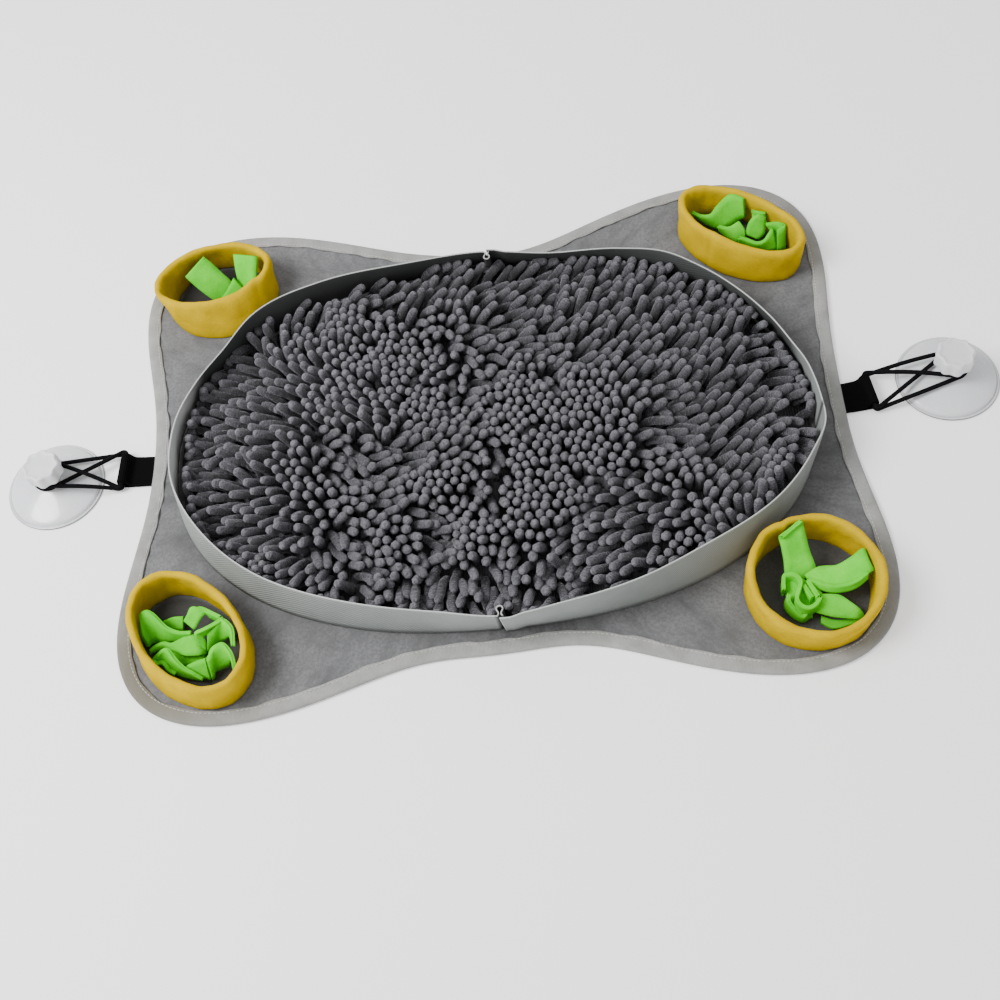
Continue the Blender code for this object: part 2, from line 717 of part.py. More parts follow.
def elastic_points(end):
    """One closed loop, doubled: through the tunnel twice and twice round the cup's neck.

    It runs from the lower tunnel level along one side to the neck's lower level, round the neck,
    crosses to the tab, and goes back through the tunnel's upper level.  Then it crosses the
    first run to the neck's upper level, goes round and returns along the other side.
    """
    cup, tunnel = np.array(end["cup"]), np.array(end["tab_end"])
    _, out = tab_root(end)
    toward = (tunnel - cup) / np.linalg.norm(tunnel - cup)
    beside = np.array([-toward[1], toward[0]])
    across = np.array([out[1], -out[0]])
    low = TUNNEL_LOW + ELASTIC_THICK / 2 + GAP
    round_neck = NECK_RADIUS + ELASTIC_THICK / 2 + 2 * GAP

    def corner(sign, level, swing):
        """From inside the tunnel round the tab's corner, ending headed for the cup."""
        centre = tunnel + out * CORNER_BEND + across * sign * (TAB_WIDE / 2 + GAP)
        bend = arc(centre, CORNER_BEND, 0, swing, 30, -out, across * sign)
        inside = tunnel + across * sign * TAB_WIDE / 4
        plan = np.vstack([inside, bend])
        return np.column_stack([plan, np.full(len(plan), level)])

    def neck(start, stop, level):
        plan = arc(cup, round_neck, start, stop, 20, toward, beside)
        return np.column_stack([plan, np.full(len(plan), level)])

    low_neck, high_neck = NECK_LEVELS
    lower_turn, upper_turn = neck(*LOWER_TURN, low_neck), neck(*UPPER_TURN, high_neck)
    outer_plus, outer_minus = corner(1, low, OUTER_SWING), corner(-1, low, OUTER_SWING)
    inner_plus = corner(1, low + STRAND_PITCH, INNER_SWING)
    inner_minus = corner(-1, low + STRAND_PITCH, INNER_SWING)
    return np.vstack([
        outer_plus,
        strand(outer_plus[-1], lower_turn[0, :2], low_neck, 0.0),
        lower_turn,
        strand(inner_plus[-1], lower_turn[-1, :2], low_neck, 0.0)[::-1],
        inner_plus[::-1],
        inner_minus,
        strand(inner_minus[-1], upper_turn[0, :2], high_neck, UPPER_ARCH),
        upper_turn,
        strand(outer_minus[-1], upper_turn[-1, :2], high_neck, UPPER_ARCH)[::-1],
        outer_minus[::-1],
    ])


def elastics():
    """The doubled elastic loops, each one closed cord."""
    for side, end in ENDS.items():
        points = elastic_points(end)
        data = bpy.data.curves.new("elastic_" + side, "CURVE")
        data.dimensions = "3D"
        data.bevel_depth = ELASTIC_THICK / 2 * MM
        data.bevel_resolution = 2
        spline = data.splines.new("POLY")
        spline.points.add(len(points) - 1)
        for point, (x, y, z) in zip(spline.points, points):
            point.co = (x * MM, y * MM, z * MM, 1.0)
        spline.use_cyclic_u = True
        finish(link(bpy.data.objects.new("elastic_" + side, data)), "black_webbing")


def suction_cups():
    """Turned vinyl cups: a dome with a stepped lip, a neck for the elastic and a stem."""
    for side, end in ENDS.items():
        mesh = bpy.data.meshes.new("suction_cup_" + side)
        profile = [(radius * MM, 0.0, height * MM) for radius, height in CUP_FORM]
        mesh.from_pydata(profile, [(i, i + 1) for i in range(len(profile) - 1)], [])
        cup = link(bpy.data.objects.new("suction_cup_" + side, mesh))
        turned = cup.modifiers.new("turned", "SCREW")
        turned.steps = turned.render_steps = CUP_STEPS
        turned.use_merge_vertices = True
        turned.merge_threshold = 0.00001
        cup.location = (end["cup"][0] * MM, end["cup"][1] * MM, 0.0)
        finish(cup, "cup_vinyl")


def knobs():
    """Lobed cap nuts, each with a blind bore over its cup's stem."""
    for side, end in ENDS.items():
        turn = np.linspace(0, 2 * np.pi, KNOB_STEPS, endpoint=False)
        radius = KNOB_RADIUS + KNOB_LOBE * np.cos(KNOB_LOBES * turn)
        lobes = np.stack([radius * np.cos(turn), radius * np.sin(turn)], -1)
        knob = level_plate("cup_knob_" + side, [lobes], KNOB_LOW, KNOB_HIGH)
        bevel = knob.modifiers.new("soft_edge", "BEVEL")
        bevel.width = KNOB_EDGE * MM
        bevel.segments = 2
        bevel.limit_method = "ANGLE"
        bevel.angle_limit = math.radians(60)
        bpy.ops.mesh.primitive_cylinder_add(
            vertices=24, radius=(STEM_RADIUS + 1.5 * GAP) * MM,
            depth=2 * (KNOB_BORE_TOP - KNOB_LOW) * MM, location=(0, 0, KNOB_LOW * MM))
        bore = bpy.context.active_object
        bore.name = "bore_" + side
        for held in list(bore.users_collection):
            held.objects.unlink(bore)
        link(bore, CUTTERS)
        boolean(knob, bore)
        place = (end["cup"][0] * MM, end["cup"][1] * MM)
        bore.location.xy = place
        knob.location.xy = place
        finish(knob, "knob_plastic")


def main():
    clear_scene()
    make_collections()
    base_cloth()
    edge_binding()
    walls()
    pile()
    pockets()
    strips()
    tabs()
    elastics()
    suction_cups()
    knobs()


main()
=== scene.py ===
"""Snuffle mat with suction cups: its looks, built round the packed solids.

The script is laid out as a Blender add-on and is run as a script.  Each operator makes one piece
or one group of like pieces.  Tables and functions are in millimetres, and shell() turns them into
metres; properties and texture scales are in metres.  +X runs along the mat, +Z up, floor z = 0.
"""

import math

import bpy
import numpy as np
from bpy.props import FloatProperty, FloatVectorProperty, IntProperty, PointerProperty
from mathutils import Matrix, Vector


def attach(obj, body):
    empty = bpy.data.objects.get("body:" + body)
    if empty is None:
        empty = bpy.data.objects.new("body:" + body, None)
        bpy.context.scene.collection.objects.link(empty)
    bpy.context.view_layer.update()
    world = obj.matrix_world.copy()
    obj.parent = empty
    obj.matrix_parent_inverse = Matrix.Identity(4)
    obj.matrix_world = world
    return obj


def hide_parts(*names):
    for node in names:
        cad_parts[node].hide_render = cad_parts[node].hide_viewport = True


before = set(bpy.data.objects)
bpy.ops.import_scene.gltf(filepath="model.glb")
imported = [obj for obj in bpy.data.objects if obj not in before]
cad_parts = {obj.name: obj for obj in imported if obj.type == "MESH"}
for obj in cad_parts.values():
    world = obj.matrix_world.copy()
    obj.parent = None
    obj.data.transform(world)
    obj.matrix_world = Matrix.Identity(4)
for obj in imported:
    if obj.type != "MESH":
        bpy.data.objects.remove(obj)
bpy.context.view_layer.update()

bl_info = {
    "name": "Snuffle Mat",
    "version": (1, 0, 0),
    "blender": (4, 5, 0),
    "location": "View3D > Sidebar > Snuffle Mat",
    "description": "Dresses the packed snuffle mat: pile, cloth, fleece, elastics and cups",
    "category": "Object",
}

MM = 0.001
MAT = "mat"
GAP = 0.3  # kept clear between pieces that lie on each other
UP = np.array([0.0, 0.0, 1.0])

# Base cloth and its binding
CLOTH_THICK = 3.0
CLOTH_DROP = 0.45  # from the cloth's full thickness down to the middle of its soft top
UNDER_TAPE = 2.0  # how far the cloth reaches in under the binding
UNDER_RINGS = (0.5, 0.998)  # shares of the outline at which the cloth's underside has a ring
TOP_RINGS = ((1.0, 0.6, 44), (0.55, 0.06, 12))  # first share, last share and count of the top's rings
PUCKER_REACH, PUCKER_START = 9.0, 2.5  # reach over which puckers fade inwards, how far in they are whole
PUCKER_WAVES = ((1.0, 2.05, 13.0, 1.0), (0.6, 5.3, 29.0, 0.0))  # height, short wave, long wave, shift
ROLL_START = 12.0  # how far in from the outline the cloth's slow rolls reach full height
POCKET_PAINTED_SHADE_EDGE = 0.12  # share of a pocket's foot over which the painted shade on its floor grows
WALL_PAINTED_SHADE, WALL_PAINTED_SHADE_REACH = 0.26, 16.0  # how dark the painted shade is at the wall's foot, how far out it reaches
RIGHT_PAINTED_SHADE = 0.08  # how much darker the painted shade makes the cloth at the wall's right end than at its middle
TAPE_WIDTH, TAPE_TOP = 10.5, 4.0
TAPE_UPPER = 3.3  # the section's points above this height are its upper face
EDGE_WAVES = (  # order round the mat, cosine part, sine part
    (0, 255.2, 0.0), (1, 0.0, -2.3), (2, 53.7, 0.0), (3, 0.8, 2.1), (4, -42.7, 0.0), (5, 0.0, -1.4),
    (6, -13.3, 0.0), (7, 1.3, 0.9), (8, 6.4, 0.5), (10, 1.9, 0.0),
)
EDGE_STEPS = 640
TAPE_FORM = (  # inset from the edge, height: round the folded tape's section
    (0.0, 2.0), (0.25, 3.2), (1.2, 3.85), (3.0, 4.05), (5.5, 4.1), (7.6, 4.0), (8.7, 3.75), (9.8, 3.95),
    (10.5, 3.6), (10.45, 3.05), (6.0, 3.0), (1.2, 2.8), (1.2, 1.2), (6.0, 1.0), (10.45, 0.95),
    (10.5, 0.0), (5.0, 0.0), (1.2, 0.0), (0.25, 0.8),
)
STITCH_INSET = 8.7
STITCH_LONG, STITCH_THICK, STITCH_SINK = 0.72, 0.55, 0.12  # share of the pitch, size, depth in the tape
STITCH_FORM = (  # share of the length, share of the thickness
    (-0.5, 0.35), (-0.42, 0.8), (-0.2, 1.0), (0.2, 1.0), (0.42, 0.8), (0.5, 0.35),
)
DENT_REACH, DENT_DEPTH = 1.6, 0.1  # the dent that each stitch draws into the tape
SOIL = (  # x, y, reach and depth of the binding's soiled stretches
    (-265.0, -185.0, 70.0, 1.0), (262.0, -190.0, 60.0, 0.45), (262.0, 175.0, 70.0, 0.4),
)

# Oval wall
WALL_FOOT = CLOTH_THICK + 2 * GAP
WALL_HALF_LENGTH = 240.0
WALL_FRONT, WALL_FRONT_POWER = 165.0, 2.3
WALL_BACK, WALL_BACK_POWER = 155.8, 2.05
WALL_TALL = 38.0
WALL_THICK = 1.2
WALL_LEAN = (  # bearing from the middle in degrees, outward lean of the rim
    (0, -5.0), (7, -11.0), (14, -12.0), (22, -10.5), (32, -7.0), (40, -4.0), (50, -9.0), (66, -16.0),
    (90, -13.3), (117, -11.5), (134, -5.5), (149, -3.5), (159, -11.5), (168, -11.5), (177, -8.0),
    (187, -5.0), (202, -7.0), (220, -4.6), (241, -2.0), (255, 1.5), (272, 7.5), (286, 3.0), (301, -1.0),
    (318, -6.8), (331, -3.5), (343, 0.0), (349, 3.2), (354, -0.5),
)
LINING_PAINTED_SHADE_X = (-200, 200)  # the left and right places at which the next line's y values hold
LINING_PAINTED_SHADE_TURNS = ((25, 14), (60, 30))  # y up to which the inner face's painted shade is faint, y from which it is full
LINING_PAINTED_SHADE_LEAST = 0.1  # share of the painted shade that is left where the inner face is pale
LIT_BETWEEN = (-225, -195)  # x up to which the inner face gets full painted light, and from which it gets none
CREASE_SHADOW_AT, CREASE_SHADOW_REACH = 352.2, 0.5  # bearing and half-width of the painted shadow in the crease, in degrees
CREASE_ROWS = (-0.75, -0.3, 0.3, 0.75)  # degrees from the crease to the rows beside it
FRONT_SEAM, BACK_SEAM = 270.3, 86.8  # bearings
PER_DEGREE = 2.8  # millimetres along the wall for each degree of bearing
WALL_STEP = 0.8  # degrees from one row of the wall to the next
END_ROW = 0.25  # degrees from a cut end to the row beside it
WALL_SINK = 0.25  # how far the band's foot sinks into the cloth's nap
WALL_LEVELS = (0, 0.14, 0.3, 0.46, 0.62, 0.78, 0.92, 0.982)  # shares of the height, on each face
RIM_FORM = (  # share of the height, of half the thickness and of the cut edge's pale colour, which is partly a painted highlight: over the rim
    (0.995, 0.8, 0.4), (1.0, 0.0, 1.0), (0.995, -0.8, 0.4),
)
SEAM_LAP = 0.3  # how far the right band reaches past each seam
END_SLANT, SLANT_REACH = 1.8, 8.0  # how far the right band's ends slant, over what length
LAP_EASE = (7.0, 15.0)  # lengths from its ends between which it draws in to the left band's line
DART_STAND_OFF, DART_STEP = 3.6, 0.6  # from a seam to where the left band goes on, and the dart's step
SEAM_DART = (  # along the wall, inward: the small loop that stands inside each seam
    (-1.9, 0.1), (-1.1, 1.0), (-0.95, 2.3), (-1.5, 3.6), (-2.15, 4.8), (-2.1, 6.0), (-1.25, 7.0),
    (0.0, 7.4), (1.25, 7.0), (2.1, 6.0), (2.15, 4.8), (1.5, 3.6), (0.95, 2.3), (1.1, 1.0), (1.9, 0.1),
)

# Pile: where noodles show, the heading that they lie in and their lean from upright
FLOW_REACH = 10.0  # how far a row of the table has its say
FLOW_BACK = 0.6  # share of its reach by which a row's place is taken back to the noodle's root
FLOW = (  # x, y, heading in degrees, lean in degrees
    (-175, 110, 120, 55), (-190, 85, 165, 65), (-218, 60, 173, 70), (-222, 33, 172, 70),
    (-202, 42, 185, 70), (-150, 125, 80, 60), (-143, 103, 20, 55), (-118, 103, 172, 60),
    (-104, 123, 5, 68), (-75, 144, 48, 51), (-67, 125, 356, 70), (-108, 105, 35, 58),
    (-86, 102, 310, 55), (-92, 86, 270, 15), (-121, 80, 352, 60), (-130, 68, 347, 58),
    (-145, 81, 140, 65), (-155, 72, 156, 65), (-170, 57, 173, 70), (-155, 46, 180, 55),
    (-111, 59, 270, 15), (-94, 66, 278, 35), (-138, 46, 185, 38), (-121, 35, 270, 18),
    (-103, 21, 167, 45), (-69, 49, 270, 20), (-77, 21, 270, 25), (-215, 25, 173, 72),
    (-190, 13, 171, 72), (-217, -2, 205, 65), (-191, -3, 173, 70), (-217, -18, 210, 65),
    (-195, -17, 160, 60), (-204, -33, 180, 65), (-185, -36, 168, 65), (-196, -52, 191, 70),
    (-202, -68, 208, 70), (-174, -55, 244, 53), (-172, -78, 191, 60), (-157, -92, 214, 60),
    (-183, -90, 197, 60), (-172, -101, 263, 28), (-170, -114, 174, 50), (-150, -81, 263, 42),
    (-133, -112, 247, 60), (-153, -124, 272, 60), (-124, -120, 252, 42), (-147, -31, 270, 16),
    (-127, -57, 270, 16), (-107, -27, 308, 45), (-100, -43, 308, 50), (-107, -69, 283, 45),
    (-89, -63, 348, 45), (-81, -26, 317, 45), (-70, -49, 353, 38), (-110, -97, 323, 50),
    (-114, -110, 297, 50), (-96, -107, 333, 45), (-89, -127, 305, 42), (-68, -102, 270, 20),
    (-103, -134, 275, 48), (-68, -139, 278, 42), (-51, 136, 48, 56), (-19, 136, 44, 61),
    (13, 137, 36, 63), (-4, 117, 2, 70), (24, 113, 7, 68), (44, 117, 30, 62), (30, 94, 352, 50),
    (-1, 84, 338, 60), (1, 64, 327, 62), (-20, 78, 292, 62), (-30, 102, 166, 50), (-26, 88, 300, 50),
    (-30, 43, 241, 55), (-10, 34, 270, 50), (5, 38, 329, 60), (21, 61, 340, 45), (50, 65, 352, 58),
    (30, 27, 266, 20), (69, 94, 23, 41), (92, 112, 35, 49), (83, 77, 35, 45), (106, 74, 30, 49),
    (88, 48, 11, 41), (57, 42, 329, 42), (120, 92, 40, 49), (77, 14, 265, 18), (-49, 56, 268, 22),
    (-46, 19, 268, 30), (-57, -29, 353, 52), (-36, -18, 353, 30), (2, -64, 288, 58), (-1, -76, 280, 45),
    (20, -59, 266, 18), (-31, -62, 268, 22), (-39, -93, 327, 60), (-43, -113, 308, 60),
    (-37, -137, 270, 55), (-6, -136, 270, 55), (-18, -112, 267, 22), (17, -108, 266, 20),
    (15, -131, 252, 45), (39, -137, 261, 60), (60, -132, 235, 55), (66, -109, 228, 45),
    (85, -91, 213, 55), (94, -104, 222, 60), (47, -79, 265, 18), (80, -32, 264, 18),
    (77, -130, 217, 60), (111, 123, 29, 39), (120, 80, 37, 53), (140, 99, 23, 39), (147, 73, 23, 41),
    (160, 68, 62, 49), (169, 87, 23, 41), (181, 64, 34, 45), (195, 57, 28, 49), (193, 40, 11, 45),
    (209, 41, 346, 53), (213, 27, 340, 65), (220, 7, 334, 65), (226, -16, 347, 65), (128, 30, 39, 60),
    (134, 19, 334, 60), (134, 3, 312, 62), (154, 30, 39, 52), (160, 6, 43, 65), (166, -12, 43, 65),
    (183, 3, 38, 48), (196, -7, 27, 50), (202, 10, 5, 55), (100, 0, 264, 18), (146, -28, 349, 68),
    (146, -42, 332, 60), (134, -47, 313, 60), (129, -57, 303, 45), (113, -62, 218, 40),
    (127, -76, 185, 65), (126, -88, 217, 62), (132, -95, 235, 62), (144, -82, 262, 45),
    (151, -71, 0, 60), (166, -62, 5, 55), (168, -34, 42, 62), (185, -40, 11, 50), (198, -38, 27, 50),
    (178, -78, 37, 52), (171, -52, 0, 45), (198, -59, 51, 50), (216, -36, 347, 60), (220, -54, 301, 60),
    (202, -79, 173, 35), (156, -107, 174, 30), (128, -112, 263, 20), (106, -118, 227, 55),
    (97, -140, 217, 45), (125, -131, 263, 25), (103, -85, 207, 50), (115, -103, 217, 52),
)
BEADS = 7
BEND = (0.12, 0.5, 0.85, 1.0, 1.08, 1.12)  # share of the lean that each length between beads has
PILE_FLOOR = CLOTH_THICK + GAP
WALL_CLEAR = 1.4  # from the wall's middle to a noodle's side
ROOT_INSET = 10.0  # from the wall's foot to the nearest roots
ROOT_JITTER = 0.22  # spread of the roots about their grid, as a share of its pitch
LIES_BETWEEN = (22.0, 62.0)  # lean at which noodles start to lie, and lie fully
LYING_SPREAD = 0.27  # how much further apart roots are where noodles lie
LYING_LENGTH = 0.06  # how much longer noodles are where they lie
LENGTH_SPREAD, THICK_SPREAD, RING_SPREAD = 0.06, 0.03, 0.025  # of noodles, and of one's rings
UNRULY, UNRULY_LYING = 0.1, 0.1  # spread of the lean, and how much more where noodles lie
STRAY_SHARE, STRAY_SPREAD = 0.05, 0.35  # share of the noodles that lean another way, and how far
LEAN_LEAST, LEAN_MOST = 0.02, 0.97  # as the sine of the lean
SHADE_MIDDLE, SHADE_SPREAD = 0.5, 0.2
ROOT_PAINTED_SHADE, ROOT_PAINTED_SHADE_POWER = 1.8, 0.72  # how far up and how softly painted shade darkens a noodle towards its root
SPREAD_PASSES, SPREAD_PUSH = 40, 0.3
PACK_PUSH, PACK_STEP, PACK_SAG, PACK_BEND = 0.5, 0.5, 0.03, 0.2
PAIR_MARGIN, PAIRS_EVERY = 1.0, 4  # pairs are looked for this much further out, every so many passes
SQUASH = (1.1, 0.88)  # share of its radius that keeps others off an upright and a lying noodle
DART_CLEAR, DART_REACH = 7.0, 5.0
END_CLEAR = ((182.0, 14.0, 8.0), (7.0, 9.0, 3.5))  # bearing, reach in degrees, space left bare
NOODLE_SIDES = 7
NOODLE_RINGS = 8
BODY_WIDTHS = (0.95, 1.03, 0.97)  # shares of the radius at the root, near the tip and at the tip
DOME = (36.0, 66.0)  # degrees up the round end
DOME_LONG = 0.85
PILE_PARTS = 5
BACKING_INSET, BACKING_THICK, BACKING_STEP = 4.0, 1.0, 1.5  # the step is in degrees
BACKING_RING = 0.5  # share of the outline at which each face has a ring

# Fleece pockets
PIECE_FLOOR = CLOTH_THICK + GAP
POCKET_RIM = 33.0
POCKET_STEPS = 220  # round the oval
POCKET_STEP = 12.0  # round the section, while it is stretched
POCKET_STRETCH = (10, 300)  # what the form below is stretched by while it is made smooth
RIPPLES = ((0.22, 5, 9), (0.16, 11, -7), (0.1, 23, 5))  # depth, waves round, slant up the wall
POCKET_SETTLE = 0.5  # how far the rim sinks below its full height
POCKET_FOOT_PAINTED_SHADE = 0.6  # share of painted shade at the foot
CREASE_HIGH = 0.45  # share of the height over which a crease fades
POCKET_FORM = (  # outward, share of the height: round the folded band's section
    (-2.2, 0.0), (0.0, 0.0), (2.2, 0.0), (2.75, 0.12), (2.5, 0.3), (2.6, 0.5), (2.8, 0.68),
    (2.95, 0.82), (2.6, 0.93), (1.4, 0.99), (0.0, 1.0), (-1.4, 0.99), (-2.6, 0.93), (-2.95, 0.82),
    (-2.8, 0.68), (-2.4, 0.5), (-2.3, 0.3), (-2.5, 0.12),
)
POCKETS = {  # foot then rim: middle x, y, half-length, half-width, turn in degrees
    "back_left": ((-211, 152, 42, 37, 0), (-215, 157, 45.5, 28.5, 11)),
    "back_right": ((209, 150, 50, 28.5, -38), (210, 153, 51.5, 25, -38)),
    "front_left": ((-217, -157.8, 50.5, 34, -50), (-215, -156, 51.5, 32, -50)),
    "front_right": ((211, -158.8, 42.2, 41.8, 0), (212.3, -159.6, 43.5, 43, -50)),
}
# how far each pocket's floor takes the felt's painted shade
POCKET_PAINTED_SHADE = {"back_left": 1.0, "back_right": 0.9, "front_left": 0.9, "front_right": 0.65}
CREASES = {  # bearing in degrees, depth inward, half-width in degrees, share of the height
    "back_left": (
        (-35, 1.6, 7, 0.75), (-100, 0.8, 18, 0.3), (20, -1.0, 12, 0.9), (150, 1.2, 14, 0.5)),
    "back_right": (
        (-140, 0.9, 2.4, 0.5), (-95, -0.9, 20, 0.8), (30, 0.8, 12, 0.4), (160, 0.7, 14, 0.5)),
    "front_left": (
        (60, 1.0, 12, 0.6), (-160, 0.8, 14, 0.7), (-80, -1.0, 18, 0.4), (120, 1.2, 9, 0.4)),
    "front_right": (
        (128, -1.6, 9, 0.8), (112, 1.0, 4, 0.8), (-20, 0.8, 14, 0.5), (-120, 0.7, 18, 0.5)),
}

# Fleece strips
STRIP_THICK = 2.8
STRIP_SLIT = 0.2  # share of the thickness left in the slit at a cut end
STRIP_STEP = 1.4
STRIP_CLEAR = 4.6  # from the middle of the pocket's wall to a strip's edge
STRIP_PAINTED_SHADE_LOW, STRIP_PAINTED_SHADE_HIGH = 5.0, 19.0  # heights at which the painted shade is deepest, and from which there is none
STRIP_PAINTED_SHADE = 0.5  # share of painted shade there
STRIP_CURL, STRIP_CURL_LONG = 0.35, 7.0  # how far the edges lift and drop, and along what wave
STRIP_FORM = (  # across, through: round the section of two layers with a groove at each edge
    (-0.88, 0.0), (-0.99, -0.4), (-0.98, -0.9), (-0.55, -1.0), (0.0, -0.94), (0.55, -1.0), (0.98, -0.9),
    (0.99, -0.4), (0.88, 0.0), (0.99, 0.4), (0.98, 0.9), (0.55, 1.0), (0.0, 0.94), (-0.55, 1.0),
    (-0.98, 0.9), (-0.99, 0.4),
)
